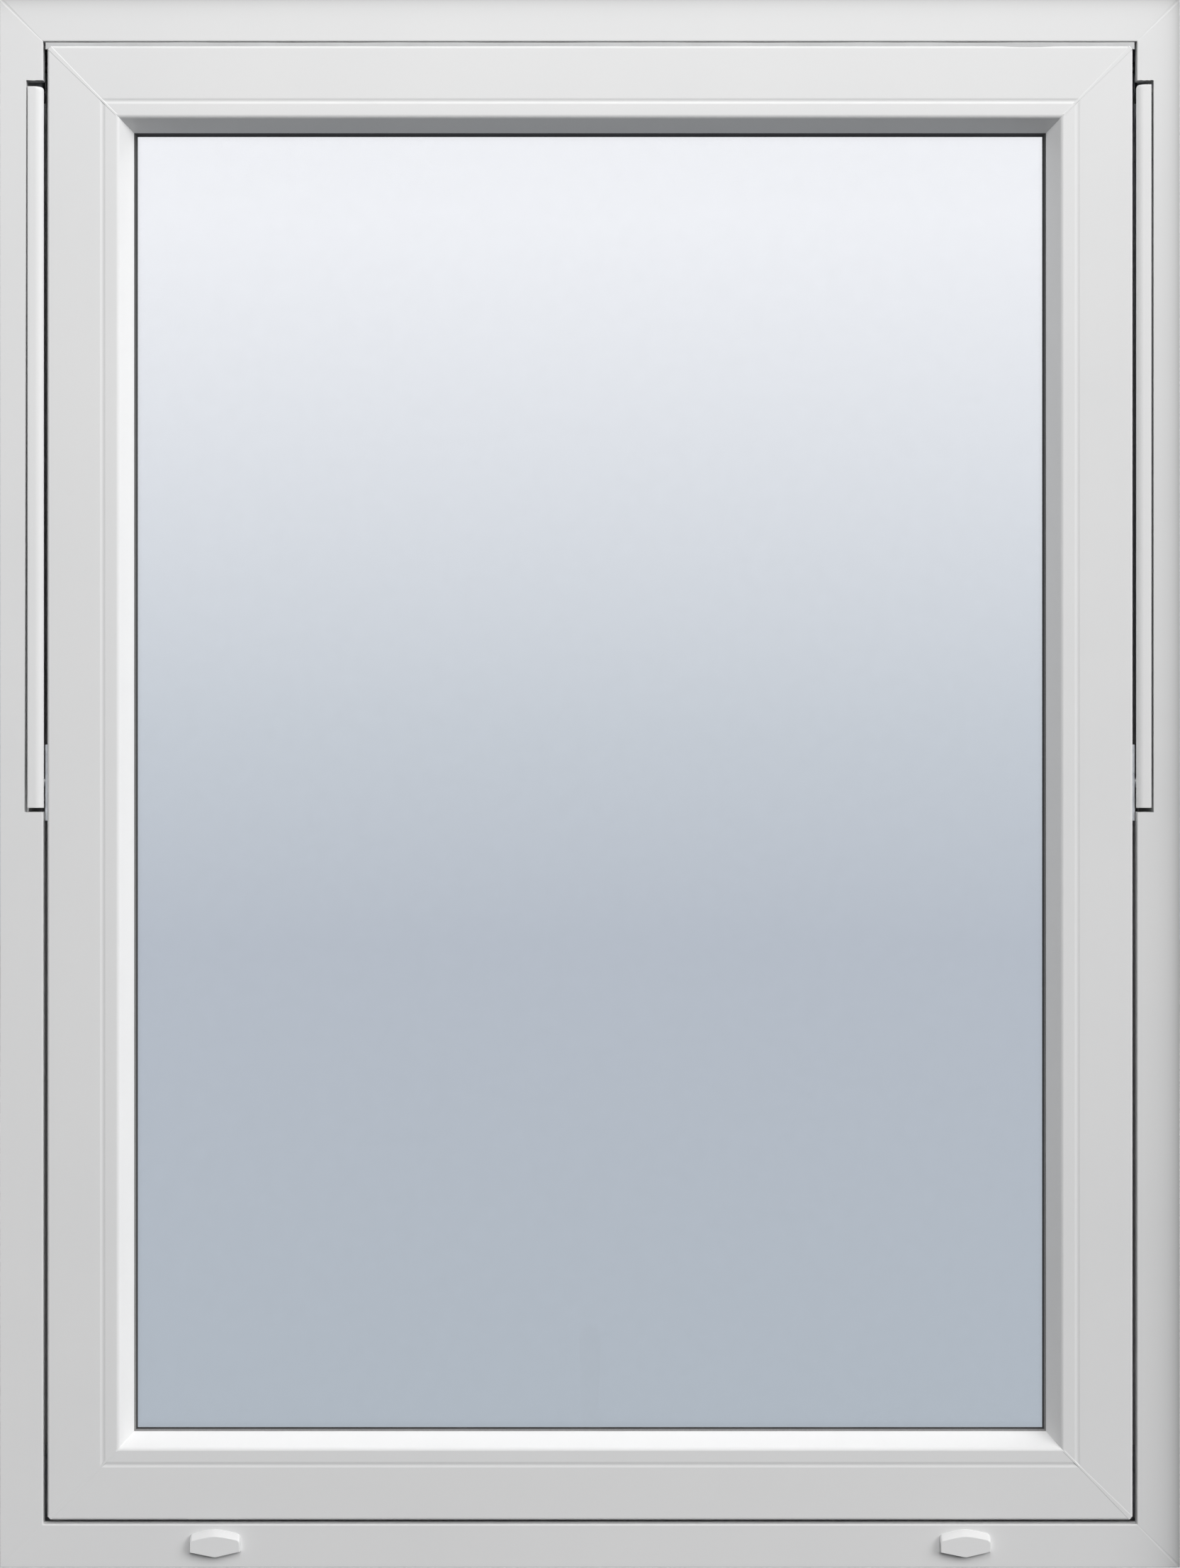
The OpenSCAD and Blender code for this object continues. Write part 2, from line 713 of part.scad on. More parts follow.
module lock_case() {
  color(zinc) in_place() difference() {
    translate([-case_half, hardware_set - 6.6, sash_edge + 2.7])
      cube([2 * case_half, 13.2, 41.6]);
    translate([-case_half + 1.5, hardware_set - 5.1, sash_edge + 1])
      cube([2 * case_half - 3, 10.2, 41.8]);
    translate([-case_half - over, hardware_set - 5.1, sash_edge + 1])
      cube([2 * case_half + 2 * over, 10.2, 9.4]);
    translate([0, hardware_set + 10, handle_z]) rotate([90, 0, 0]) cylinder(d = 12.2, h = 20);
  }
}

module lock_faceplate() {
  half = sash_outer_w / 2 - 12;
  color(zinc) in_place() translate([-half, groove_in - 2.1, sash_edge + 0.1])
    cube([2 * half, 16.2, 2.3]);
}

// One flank of an involute tooth, from the root to the tip of the pinion
base_r = pinion_r * cos(20);
function involute(r) = let (t = sqrt(max(0, pow(r / base_r, 2) - 1))) t * 180 / PI - atan(t);
tooth_half = 90 / pinion_teeth - 0.9;
tip_r = pinion_r + tooth_module * 0.9;
root_r = pinion_r - tooth_module * 1.2;
flank = [for (i = [0:4]) let (r = base_r + (tip_r - base_r) * i / 4)
  [r, tooth_half + involute(pinion_r) - involute(r)]];

function polar(r, a) = [r * sin(a), r * cos(a)];

module pinion_outline() {
  polygon([for (k = [0:pinion_teeth - 1], s = [-1, 1], i = [0:5])
    let (
      j = s < 0 ? i : 5 - i,
      f = j == 0 ? [root_r, flank[0][1]] : flank[j - 1]
    ) polar(f[0], k * 360 / pinion_teeth + s * f[1])]);
}

module lock_pinion() {
  color(zinc) in_place() translate([0, hardware_set, handle_z]) rotate([90, 0, 0]) difference() {
    union() {
      translate([0, 0, -4]) linear_extrude(8) pinion_outline();
      translate([0, 0, -6.6]) cylinder(d = 12, h = 13.2);
    }
    translate([-3.55, -3.55, -10]) cube([7.1, 7.1, 20]);
  }
}

// A straight rack, its teeth pointing up from the pitch line at z = 0; a tooth gap is centred on x = 0
module rack(first, last, back) {
  pitch = PI * tooth_module;
  thin = 0.12;
  up = tooth_module * 0.9;
  down = tooth_module * 1.2;
  lean = tan(20);
  profile = concat(
    [[first * pitch, -back], [last * pitch, -back], [last * pitch, -down]],
    [for (k = [last - 1:-1:first], c = [0:3])
      let (
        x = (k + 0.5) * pitch,
        edge = pitch / 4 - thin,
        corner = [[edge + down * lean, -down], [edge - up * lean, up],
                  [-edge + up * lean, up], [-edge - down * lean, -down]][c]
      ) [x + corner[0], corner[1]]],
    [[first * pitch, -down]]
  );
  translate([0, 4, 0]) rotate([90, 0, 0]) linear_extrude(8) polygon(profile);
}

// A lock rod: the round bolt in the groove, the leg up from it, and the rack on the pinion
module lock_rod(leg_x, leg_top) {
  rod_z = sash_edge + rod_rise;
  end_x = sash_outer_w / 2 - 0.5;
  translate([-end_x, hardware_set, rod_z]) rotate([0, 90, 0]) cylinder(d = rod_d, h = end_x - leg_x - 4);
  translate([-leg_x - 12, hardware_set - 4, rod_z - rod_d / 2])
    cube([12, 8, leg_top - rod_z + rod_d / 2]);
}

rack_back = 4.6;

module lock_rod_left() {
  color(zinc) in_place() {
    union() {
      lock_rod(32, handle_z - pinion_r - 1.8);
      translate([0, hardware_set, handle_z - pinion_r]) rack(-8, 6, rack_back);
      translate([-44, hardware_set - 4, handle_z - pinion_r - rack_back]) cube([20, 8, 2.6]);
    }
  }
}

module lock_rod_right() {
  color(zinc) in_place() mirrored() {
    union() {
      lock_rod(32, handle_z + pinion_r + rack_back);
      translate([0, hardware_set, handle_z + pinion_r]) mirror([0, 0, 1]) rack(-8, 6, rack_back);
      translate([-44, hardware_set - 4, handle_z + pinion_r + rack_back - 2.6]) cube([20, 8, 2.6]);
    }
  }
}

module rounded_bar(half_l, r, h) {
  rotate([-90, 0, 0]) linear_extrude(h) union() {
    for (s = [-1, 1]) translate([s * half_l, 0]) circle(r);
    translate([-half_l, -r]) square([2 * half_l, 2 * r]);
  }
}

module handle_rose() {
  color(white) in_place() translate([0, sash_depth, handle_z]) difference() {
    rounded_bar(20, 13.5, 10);
    translate([0, -over, 0]) rotate([-90, 0, 0]) cylinder(d = 17.2, h = 20);
    for (s = [-1, 1]) translate([s * 21.5, -over, 0]) rotate([-90, 0, 0]) {
      cylinder(d = 5.2, h = 20);
      translate([0, 0, 6]) cylinder(d = 9, h = 20);
    }
  }
}

module handle_screws() {
  color(zinc) in_place() for (s = [-1, 1])
    translate([s * 21.5, sash_depth + 5, handle_z]) rotate([90, 0, 0]) difference() {
      union() {
        translate([0, 0, -2.4]) cylinder(d = 8.6, h = 2.4);
        cylinder(d = 4.8, h = 24);
      }
      translate([0, 0, -4]) cylinder(d = 3.4, h = 3, $fn = 6);
    }
}

module handle_spindle() {
  color(zinc) in_place() translate([-3.5, hardware_set - 6, handle_z - 3.5])
    cube([7, sash_depth + 20 - hardware_set + 6, 7]);
}

// The lever points up when the lock is open
module handle_lever() {
  reach = 38;
  grip_l = 112;
  color(white) in_place() translate([0, sash_depth, handle_z]) difference() {
    union() {
      translate([0, 0.3, 0]) rotate([-90, 0, 0]) cylinder(d = 17, h = reach + 11);
      translate([-9.5, reach, 0]) cube([19, 11, grip_l - 9.5]);
      translate([0, reach, grip_l - 9.5]) rotate([-90, 0, 0]) cylinder(d = 19, h = 11);
      translate([0, reach, 0]) rotate([-90, 0, 0]) cylinder(d = 19, h = 11);
    }
    translate([-3.55, -over, -3.55]) cube([7.1, 21.2, 7.1]);
  }
}

frame_head();
frame_sill();
frame_jamb_left();
frame_jamb_right();
frame_steel();
frame_gasket();
head_seal();
drain_cap_left();
drain_cap_right();
guide_track_left();
guide_track_right();
arm_pivot_left();
arm_pivot_right();
bolt_keep_left();
bolt_keep_right();
frame_screws();
arm_left();
arm_right();
arm_cover_left();
arm_cover_right();
arm_cover_screws_left();
arm_cover_screws_right();
sash_top_rail();
sash_bottom_rail();
sash_stile_left();
sash_stile_right();
sash_steel();
glass_outer_pane();
glass_inner_pane();
glass_spacer();
glass_edge_seal();
glazing_bead_top();
glazing_bead_bottom();
glazing_bead_left();
glazing_bead_right();
glazing_gasket_outer();
glazing_gasket_inner();
setting_blocks();
sash_pivot_left();
sash_pivot_right();
shoe_bracket_left();
shoe_bracket_right();
guide_shoe_left();
guide_shoe_right();
sash_screws();
lock_case();
lock_faceplate();
handle_rose();
handle_screws();
handle_lever();
handle_spindle();
lock_pinion();
lock_rod_left();
lock_rod_right();
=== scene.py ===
"""Looks of a top-guided outward-opening window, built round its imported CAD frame.

Sizes in this file are millimetres unless a name says otherwise, and meshes are made in metres.
A profile is a closed list of (depth, rise): depth behind the outside face, rise from its outer edge.
"""

import math
import random

import bmesh
import bpy
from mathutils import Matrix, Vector

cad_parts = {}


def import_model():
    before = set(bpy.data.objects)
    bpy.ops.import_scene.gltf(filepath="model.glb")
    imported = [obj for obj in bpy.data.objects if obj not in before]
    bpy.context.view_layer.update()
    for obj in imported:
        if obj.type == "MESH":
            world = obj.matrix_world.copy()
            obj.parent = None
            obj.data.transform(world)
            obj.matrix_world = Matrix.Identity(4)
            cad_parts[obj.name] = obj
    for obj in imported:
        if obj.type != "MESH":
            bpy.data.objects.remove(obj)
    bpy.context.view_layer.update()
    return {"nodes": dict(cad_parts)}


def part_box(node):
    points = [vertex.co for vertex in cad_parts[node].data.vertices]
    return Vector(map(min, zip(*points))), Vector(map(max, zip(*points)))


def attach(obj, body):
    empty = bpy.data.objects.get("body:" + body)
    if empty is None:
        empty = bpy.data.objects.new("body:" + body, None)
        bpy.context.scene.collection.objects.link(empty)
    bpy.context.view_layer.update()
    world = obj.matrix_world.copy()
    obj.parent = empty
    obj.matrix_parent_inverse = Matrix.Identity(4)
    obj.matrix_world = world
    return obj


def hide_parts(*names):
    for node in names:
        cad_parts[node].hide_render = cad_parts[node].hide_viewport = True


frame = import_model()
nodes = frame["nodes"]
MM = 0.001


# ---------- sizes taken from the CAD ----------


def low(node):
    return [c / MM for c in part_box(node)[0]]


def high(node):
    return [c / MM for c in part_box(node)[1]]


FRONT = low("frame_sill")[1]
BACK = high("frame_sill")[1]
WINDOW_W = high("frame_jamb_right")[0] - low("frame_jamb_left")[0]
WINDOW_H = high("frame_head")[2]
SASH_LOW = low("sash_stile_left")
SASH_HIGH = high("sash_stile_right")
SASH_W = SASH_HIGH[0] - SASH_LOW[0]
SASH_H = SASH_HIGH[2] - SASH_LOW[2]
SASH_EDGE = SASH_LOW[2]
FRAME_DEPTH = BACK - FRONT
SASH_DEPTH = SASH_HIGH[1] - FRONT
FRAME_RECT = (WINDOW_W, WINDOW_H, 0.0)
SASH_RECT = (SASH_W, SASH_H, SASH_EDGE)

# Section sizes that repeat the CAD's, because a node's box doesn't show them.
FACE_W = 36.0
LIP_T = 11.0
FLOOR_H = 22.0
STOP_H = high("frame_sill")[2]
STOP_SET = 70.0
SLOPE_FOOT = 59.8
SASH_FACE_W = 70.5
GLASS_SET = low("glass_outer_pane")[1] - FRONT
GLASS_BACK = high("glass_inner_pane")[1] - FRONT
REBATE_H = 50.0
SLOPE_DEPTH = GLASS_SET - 4.0
GROOVE_NEAR = 34.0
GROOVE_FAR = 46.0
SLOT_LOW = 41.0
SLOT_HIGH = 43.4
SLOT_DEEP = 4.0
PIVOT_DROP = 82


# ---------- mesh helpers ----------


def arc(d, r, radius, a0, a1, n):
    """Points on an arc in a profile, from angle a0 to a1 in degrees."""
    turns = [math.radians(a0 + (a1 - a0) * i / n) for i in range(n + 1)]
    return [(d + radius * math.cos(a), r + radius * math.sin(a)) for a in turns]


def on_side(side, rect):
    """Maps (x along a side, depth, rise) of a rectangle's side to the shared frame."""
    w, h, z = rect
    return {
        "bottom": lambda x, d, r: (x, FRONT + d, z + r),
        "top": lambda x, d, r: (-x, FRONT + d, z + h - r),
        "left": lambda x, d, r: (-w / 2 + r, FRONT + d, z + h / 2 - x),
        "right": lambda x, d, r: (w / 2 - r, FRONT + d, z + h / 2 + x),
    }[side]


def side_length(side, rect):
    return rect[1] if side in ("left", "right") else rect[0]


def loft(rings, closed=False):
    """A solid through rings of equal length. An open loft gets a face at each end."""
    n = len(rings[0])
    verts = [p for ring in rings for p in ring]
    count = len(rings)
    spans = range(count) if closed else range(count - 1)
    faces = []
    for k in spans:
        a, b = k * n, (k + 1) % count * n
        faces += [(a + i, a + (i + 1) % n, b + (i + 1) % n, b + i) for i in range(n)]
    if not closed:
        faces += [tuple(range(n - 1, -1, -1)), tuple((count - 1) * n + i for i in range(n))]
    return verts, faces


def prism(points, d0, d1):
    """A solid over a polygon of (x, z), from depth d0 to d1."""
    return loft([[(x, FRONT + d, z) for x, z in points] for d in (d0, d1)])


def block(x0, x1, d0, d1, z0, z1):
    return prism([(x0, z0), (x1, z0), (x1, z1), (x0, z1)], d0, d1)


def turned(axis, centre, steps, n=40):
    """A solid of revolution about axis through centre: steps are (distance along the axis, radius)."""
    rings = []
    for along, radius in steps:
        ring = []
        for i in range(n):
            a = 2 * math.pi * i / n
            u, v = radius * math.cos(a), radius * math.sin(a)
            offset = {"x": (along, u, v), "y": (v, along, u), "z": (u, v, along)}[axis]
            ring.append(tuple(c + o for c, o in zip(centre, offset)))
        rings.append(ring)
    return loft(rings)


def mesh_object(name, solids):
    mesh = bpy.data.meshes.new(name)
    verts, faces = [], []
    for solid_verts, solid_faces in solids:
        start = len(verts)
        verts += [tuple(c * MM for c in v) for v in solid_verts]
        faces += [tuple(start + i for i in f) for f in solid_faces]
    mesh.from_pydata(verts, [], faces)
    bm = bmesh.new()
    bm.from_mesh(mesh)
    bmesh.ops.recalc_face_normals(bm, faces=bm.faces)
    bm.to_mesh(mesh)
    bm.free()
    obj = bpy.data.objects.new(name, mesh)
    bpy.context.scene.collection.objects.link(obj)
    return obj


def settle(obj):
    """Applies an object's modifiers to its own mesh."""
    shown = obj.evaluated_get(bpy.context.evaluated_depsgraph_get())
    mesh = bpy.data.meshes.new_from_object(shown)
    mesh.name = obj.name
    old = obj.data
    obj.modifiers.clear()
    obj.data = mesh
    bpy.data.meshes.remove(old)


def carve(obj, solids, operation="DIFFERENCE"):
    """Cuts solids out of obj, one after another, or joins them to it."""
    for solid in solids:
        cutter = mesh_object("cutter", [solid])
        cut = obj.modifiers.new("cut", "BOOLEAN")
        cut.operation = operation
        cut.solver = "EXACT"
        cut.object = cutter
        settle(obj)
        bpy.data.objects.remove(cutter)


def polish(obj, angle=32.0):
    """Smooth shading that breaks at edges sharper than angle, with flat faces kept flat."""
    bm = bmesh.new()
    bm.from_mesh(obj.data)
    bmesh.ops.remove_doubles(bm, verts=bm.verts, dist=1e-6)
    bmesh.ops.dissolve_degenerate(bm, edges=bm.edges, dist=1e-7)
    bmesh.ops.recalc_face_normals(bm, faces=bm.faces)
    for f in bm.faces:
        f.smooth = True
    for e in bm.edges:
        e.smooth = len(e.link_faces) == 2 and e.calc_face_angle() < math.radians(angle)
    bm.to_mesh(obj.data)
    bm.free()
    even = obj.modifiers.new("even_normals", "WEIGHTED_NORMAL")
    even.keep_sharp = True


def piece(name, solids, body, material, stands_for, cuts=(), angle=32.0):
    """A finished piece: built, cut, shaded, painted, and riding on its body."""
    obj = mesh_object(name, solids)
    carve(obj, cuts)
    polish(obj, angle)
    obj.data.materials.clear()
    obj.data.materials.append(material)
    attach(obj, body)
    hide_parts(*stands_for)
    return obj


# ---------- materials ----------


class Paint:
    """A material's nodes. Every texture reads the piece's own coordinates in metres."""

    def __init__(self, name):
        self.material = bpy.data.materials.new(name)
        self.material.use_nodes = True
        self.tree = self.material.node_tree
        self.tree.nodes.clear()
        out = self.add("ShaderNodeOutputMaterial")
        self.shader = self.add("ShaderNodeBsdfPrincipled")
        self.link(self.shader.outputs[0], out.inputs[0])
        self.place = self.add("ShaderNodeTexCoord").outputs["Object"]
        self.height = None

    def add(self, kind, **values):
        node = self.tree.nodes.new(kind)
        for key, value in values.items():
            setattr(node, key, value)
        return node

    def link(self, a, b):
        self.tree.links.new(a, b)

    def stretched(self, x, y, z):
        node = self.add("ShaderNodeMapping")
        node.inputs["Scale"].default_value = (x, y, z)
        self.link(self.place, node.inputs["Vector"])
        return node.outputs[0]

    def noise(self, scale, detail=3.0, rough=0.5, where=None):
        node = self.add("ShaderNodeTexNoise")
        node.inputs["Scale"].default_value = scale
        node.inputs["Detail"].default_value = detail
        node.inputs["Roughness"].default_value = rough
        self.link(where or self.place, node.inputs["Vector"])
        return node.outputs["Fac"]

    def math(self, operation, a, b=0.0, clamp=False):
        node = self.add("ShaderNodeMath", operation=operation, use_clamp=clamp)
        for socket, value in zip(node.inputs, (a, b)):
            if isinstance(value, (int, float)):
                socket.default_value = value
            else:
                self.link(value, socket)
        return node.outputs[0]

    def range(self, value, low_in, high_in, low_out, high_out):
        node = self.add("ShaderNodeMapRange")
        self.link(value, node.inputs["Value"])
        keys = ("From Min", "From Max", "To Min", "To Max")
        for key, number in zip(keys, (low_in, high_in, low_out, high_out)):
            node.inputs[key].default_value = number
        return node.outputs[0]

    def blend(self, factor, a, b):
        node = self.add("ShaderNodeMix", data_type="RGBA")
        self.link(factor, node.inputs["Factor"])
        for socket, value in ((node.inputs[6], a), (node.inputs[7], b)):
            if isinstance(value, tuple):
                socket.default_value = (*value, 1.0)
            else:
                self.link(value, socket)
        return node.outputs[2]

    def scaled(self, colour, factor):
        node = self.add("ShaderNodeMix", data_type="RGBA", blend_type="MULTIPLY")
        node.inputs["Factor"].default_value = 1.0
        self.link(colour, node.inputs[6])
        self.link(factor, node.inputs[7])
        return node.outputs[2]

    def colour(self, socket):
        self.link(socket, self.shader.inputs["Base Color"])

    def roughness(self, socket):
        self.link(socket, self.shader.inputs["Roughness"])

    def bump(self, height, distance_mm, strength=1.0):
        node = self.add("ShaderNodeBump")
        node.inputs["Strength"].default_value = strength
        node.inputs["Distance"].default_value = distance_mm * MM
        self.link(height, node.inputs["Height"])
        if self.height:
            self.link(self.height, node.inputs["Normal"])
        self.height = node.outputs[0]
        self.link(self.height, self.shader.inputs["Normal"])


def grey(value, cool=0.0):
    return (value * (1 - cool), value, value * (1 + cool))


# Painted shade on the frame's right and top edges: how deep it darkens and how far in it reaches, in mm;
# the broad shade on the right is deeper low down.
EDGE_SHADE_RIGHT = 0.36
EDGE_SHADE_RIGHT_REACH = 4.5
EDGE_SHADE_BROAD_LOW = 0.32
EDGE_SHADE_BROAD_HIGH = 0.09
EDGE_SHADE_BROAD_REACH = 18.0
EDGE_SHADE_TOP = 0.28
EDGE_SHADE_TOP_REACH = 6.0


def white_plastic(name, along, tone=0.80, edge_shade=False, gloss=0.36, uneven=0.06):
    """Extruded white profile: draw lines along it, a faint grain and uneven gloss; with edge shading on,
    painted shade darkens the right and top edges, more low down on the right.
    """
    p = Paint(name)
    stretch = [2600.0, 2600.0, 2600.0]
    stretch["xyz".index(along)] = 18.0
    lines = p.noise(1.0, 2.0, 0.55, p.stretched(*stretch))
    grain = p.noise(2300.0, 2.0, 0.6)
    cloud = p.noise(5.0, 4.0, 0.55)
    patch = p.noise(38.0, 3.0, 0.6)
    dull, bright = grey(tone * 0.985, 0.002), grey(tone * 1.01, -0.001)
    base = p.blend(p.range(cloud, 0.3, 0.7, 0.0, 1.0), dull, bright)
    base = p.blend(p.range(grain, 0.35, 0.75, 0.0, 0.10), base, grey(tone * 0.80))
    base = p.blend(p.range(patch, 0.62, 0.80, 0.0, 0.05), base, grey(tone * 0.78, -0.02))
    # Painted shade: the frame darkens towards its right and top edges, the right one more towards the
    # bottom.
    if edge_shade:
        spread = p.add("ShaderNodeSeparateXYZ")
        p.link(p.place, spread.inputs[0])
        right = p.math("SUBTRACT", WINDOW_W / 2 * MM, spread.outputs[0])
        top = p.math("SUBTRACT", WINDOW_H * MM, spread.outputs[2])
        broad_shade = p.range(spread.outputs[2], 0.0, WINDOW_H * MM, EDGE_SHADE_BROAD_LOW, EDGE_SHADE_BROAD_HIGH)
        edge_shades = [(right, EDGE_SHADE_RIGHT, EDGE_SHADE_RIGHT_REACH), (right, broad_shade, EDGE_SHADE_BROAD_REACH)]
        edge_shades += [(top, EDGE_SHADE_TOP, EDGE_SHADE_TOP_REACH)]
        for distance, depth, reach in edge_shades:
            fade = p.math("EXPONENT", p.math("DIVIDE", distance, -reach * MM))
            base = p.scaled(base, p.math("SUBTRACT", 1.0, p.math("MULTIPLY", fade, depth)))
    p.colour(base)
    p.roughness(p.range(patch, 0.3, 0.7, gloss - uneven, gloss + uneven))
    p.shader.inputs["Specular IOR Level"].default_value = 0.32
    p.bump(lines, 0.006, 0.5)
    p.bump(grain, 0.012, 0.6)
    return p.material


def rubber(name, tone=0.007, dust=0.03, rough=0.62, dusty_lit_band_depth=None):
    """Black rubber with a little dust. Given a depth, the rubber in front of it is painted grey, partly
    dust and partly a painted highlight, and darker towards the top as painted shade.
    """
    p = Paint(name)
    speck = p.noise(900.0, 4.0, 0.65)
    wipe = p.noise(24.0, 3.0, 0.6)
    base = p.blend(p.range(speck, 0.45, 0.8, 0.0, 0.35), grey(tone), grey(dust, -0.03))
    base = p.blend(p.range(wipe, 0.5, 0.8, 0.0, 0.3), base, grey(dust * 0.8))
    # Painted light on the outer band: grey low down as a painted highlight with some dust, near black at
    # the top as painted shade.
    if dusty_lit_band_depth:
        spread = p.add("ShaderNodeSeparateXYZ")
        p.link(p.place, spread.inputs[0])
        start, end = (FRONT + dusty_lit_band_depth - 0.4) * MM, (FRONT + dusty_lit_band_depth + 0.3) * MM
        outside = p.range(spread.outputs[1], start, end, 1.0, 0.0)
        painted_shade_to_top = p.range(spread.outputs[2], 0.0, WINDOW_H * MM, 0.0, 1.0)
        dust_and_painted_light = p.blend(painted_shade_to_top, grey(0.24), grey(0.02))
        base = p.blend(outside, base, p.scaled(dust_and_painted_light, p.range(speck, 0.3, 0.8, 0.85, 1.2)))
    p.colour(base)
    p.roughness(p.range(wipe, 0.3, 0.7, rough - 0.08, rough + 0.1))
    p.bump(speck, 0.02, 0.7)
    return p.material


def pale_rubber(name):
    """Pale grey rubber, wiped unevenly and faintly speckled."""
    p = Paint(name)
    speck = p.noise(1100.0, 3.0, 0.6)
    wipe = p.noise(30.0, 3.0, 0.6)
    base = p.blend(p.range(wipe, 0.3, 0.75, 0.0, 1.0), grey(0.60, 0.006), grey(0.53, 0.004))
    base = p.blend(p.range(speck, 0.55, 0.85, 0.0, 0.4), base, grey(0.40))
    p.colour(base)
    p.roughness(p.range(wipe, 0.3, 0.7, 0.5, 0.66))
    p.bump(speck, 0.02, 0.6)
    return p.material


def lacquer(name):
    """Powder-coated white with a little orange peel."""
    p = Paint(name)
    peel = p.noise(420.0, 2.0, 0.5)
    cloud = p.noise(14.0, 3.0, 0.5)
    p.colour(p.blend(p.range(cloud, 0.3, 0.7, 0.0, 1.0), grey(0.80, 0.002), grey(0.77, -0.004)))
    p.roughness(p.range(peel, 0.3, 0.7, 0.20, 0.30))
    p.bump(peel, 0.03, 0.35)
    return p.material


def metal(name, tone, cool, along=None, rough=0.34, mottle=0.2):
    """Zinc-plated or anodised metal: mottled tone, fine scratches, brushed when it is an extrusion."""
    p = Paint(name)
    spots = p.noise(160.0, 5.0, 0.62)
    stretch = [1400.0, 1400.0, 1400.0]
    if along:
        stretch["xyz".index(along)] = 9.0
    else:
        stretch[0] = 60.0
    brush = p.noise(1.0, 3.0, 0.6, p.stretched(*stretch))
    dull = grey(tone * (1 - mottle), cool)
    base = p.blend(p.range(spots, 0.3, 0.7, 0.0, 1.0), dull, grey(tone, cool))
    base = p.blend(p.range(brush, 0.35, 0.7, 0.0, 0.25), base, grey(tone * 0.7, cool))
    p.colour(base)
    p.shader.inputs["Metallic"].default_value = 1.0
    p.roughness(p.range(p.math("ADD", spots, brush), 0.7, 1.3, rough - 0.08, rough + 0.12))
    p.bump(brush, 0.008, 0.5)
    return p.material


def nylon(name):
    """Black moulded nylon with a fine speckle."""
    p = Paint(name)
    speck = p.noise(700.0, 3.0, 0.6)
    p.colour(p.blend(p.range(speck, 0.3, 0.8, 0.0, 1.0), grey(0.018, 0.02), grey(0.035, 0.02)))
    p.roughness(p.range(speck, 0.3, 0.7, 0.36, 0.5))
    p.bump(speck, 0.02, 0.5)
    return p.material


def float_glass(name, ior, tint, coating=0.0):
    """Float glass with the faintest roller waviness; coating is the share that its film mirrors."""
    p = Paint(name)
    wave = p.noise(3.2, 2.0, 0.4, p.stretched(1.0, 1.0, 2.2))
    smear = p.noise(60.0, 4.0, 0.6)
    p.colour(p.blend(p.range(smear, 0.3, 0.8, 0.0, 1.0), tint, tuple(c * 0.985 for c in tint)))
    p.roughness(p.range(smear, 0.4, 0.9, 0.0, 0.02))
    p.shader.inputs["IOR"].default_value = ior
    p.shader.inputs["Transmission Weight"].default_value = 1.0
    p.shader.inputs["Metallic"].default_value = coating
    p.bump(wave, 0.02, 0.3)
    return p.material


PLASTIC_Z = white_plastic("white_plastic_upright", "z")
PLASTIC_X = white_plastic("white_plastic_level", "x")
FRAME_Z = white_plastic("white_frame_upright_edge_shaded", "z", edge_shade=True)
FRAME_X = white_plastic("white_frame_level_edge_shaded", "x", edge_shade=True)
TRIM = white_plastic("white_trim", "z", tone=0.82, gloss=0.34, uneven=0.015)
GASKET = rubber("black_rubber")
GLAZING_RUBBER = rubber("glazing_rubber", dusty_lit_band_depth=18.0)
SEALANT = rubber("edge_sealant", tone=0.02, dust=0.04, rough=0.5)
SEAL = pale_rubber("pale_seal")
LACQUER = lacquer("white_lacquer")
ZINC = metal("zinc_steel", 0.62, 0.012)
# Near-black steel on the arm pivots is painted shade: the pivot plates seen in the gaps beside the
# covers read as the gap's shadow.
SHADE_DARK_STEEL = metal("pivot_steel_painted_shade", 0.06, 0.01, rough=0.5)
TRACK = metal("track_alloy", 0.74, 0.008, along="z", rough=0.3, mottle=0.06)
SPACER = metal("spacer_alloy", 0.70, 0.01, along="z", rough=0.36, mottle=0.08)
NYLON = nylon("black_nylon")
GLASS_OUT = float_glass("coated_glass", 1.5, (0.985, 0.99, 1.0), coating=0.86)
GLASS_IN = float_glass("clear_glass", 1.5, (0.98, 0.995, 1.0))


# ---------- outer frame ----------

FRAME_OUTLINE = (
    arc(0.5, 0.5, 0.5, 180, 270, 4)
    + arc(FRAME_DEPTH - 1.5, 1.5, 1.5, 270, 360, 4)
    + arc(FRAME_DEPTH - 3, STOP_H - 3, 3.0, 0, 90, 6)
    + arc(STOP_SET + 1, STOP_H - 1, 1.0, 90, 180, 4)
    + [(STOP_SET, SLOT_HIGH), (STOP_SET + SLOT_DEEP, SLOT_HIGH)]
    + [(STOP_SET + SLOT_DEEP, SLOT_LOW), (STOP_SET, SLOT_LOW)]
    + [(STOP_SET, FLOOR_H + 0.8), (STOP_SET - 0.8, FLOOR_H)]
    + [(LIP_T + 1.2, FLOOR_H), (LIP_T + 0.35, FLOOR_H + 0.35), (LIP_T, FLOOR_H + 1.2)]
    + arc(LIP_T - 1.5, FACE_W - 1.5, 1.5, 0, 90, 5)
    + arc(1.0, FACE_W - 1.0, 1.0, 90, 180, 6)
)
FRAME_WELD_RAMP = 0.8
SASH_WELD_RAMP = 0.75
FRAME_WELD_DEEP = 0.22
SASH_WELD_PROUD = 0.16


def frame_weld(d, r):
    """A routed weld: the front face falls a little at the mitre."""
    return (d + FRAME_WELD_DEEP, r) if d < 0.9 and r < FACE_W - 0.3 else (d, r)


def frame_weld_width(r):
    return 0.25 + 1.5 * max(0.0, 1 - r / FACE_W)


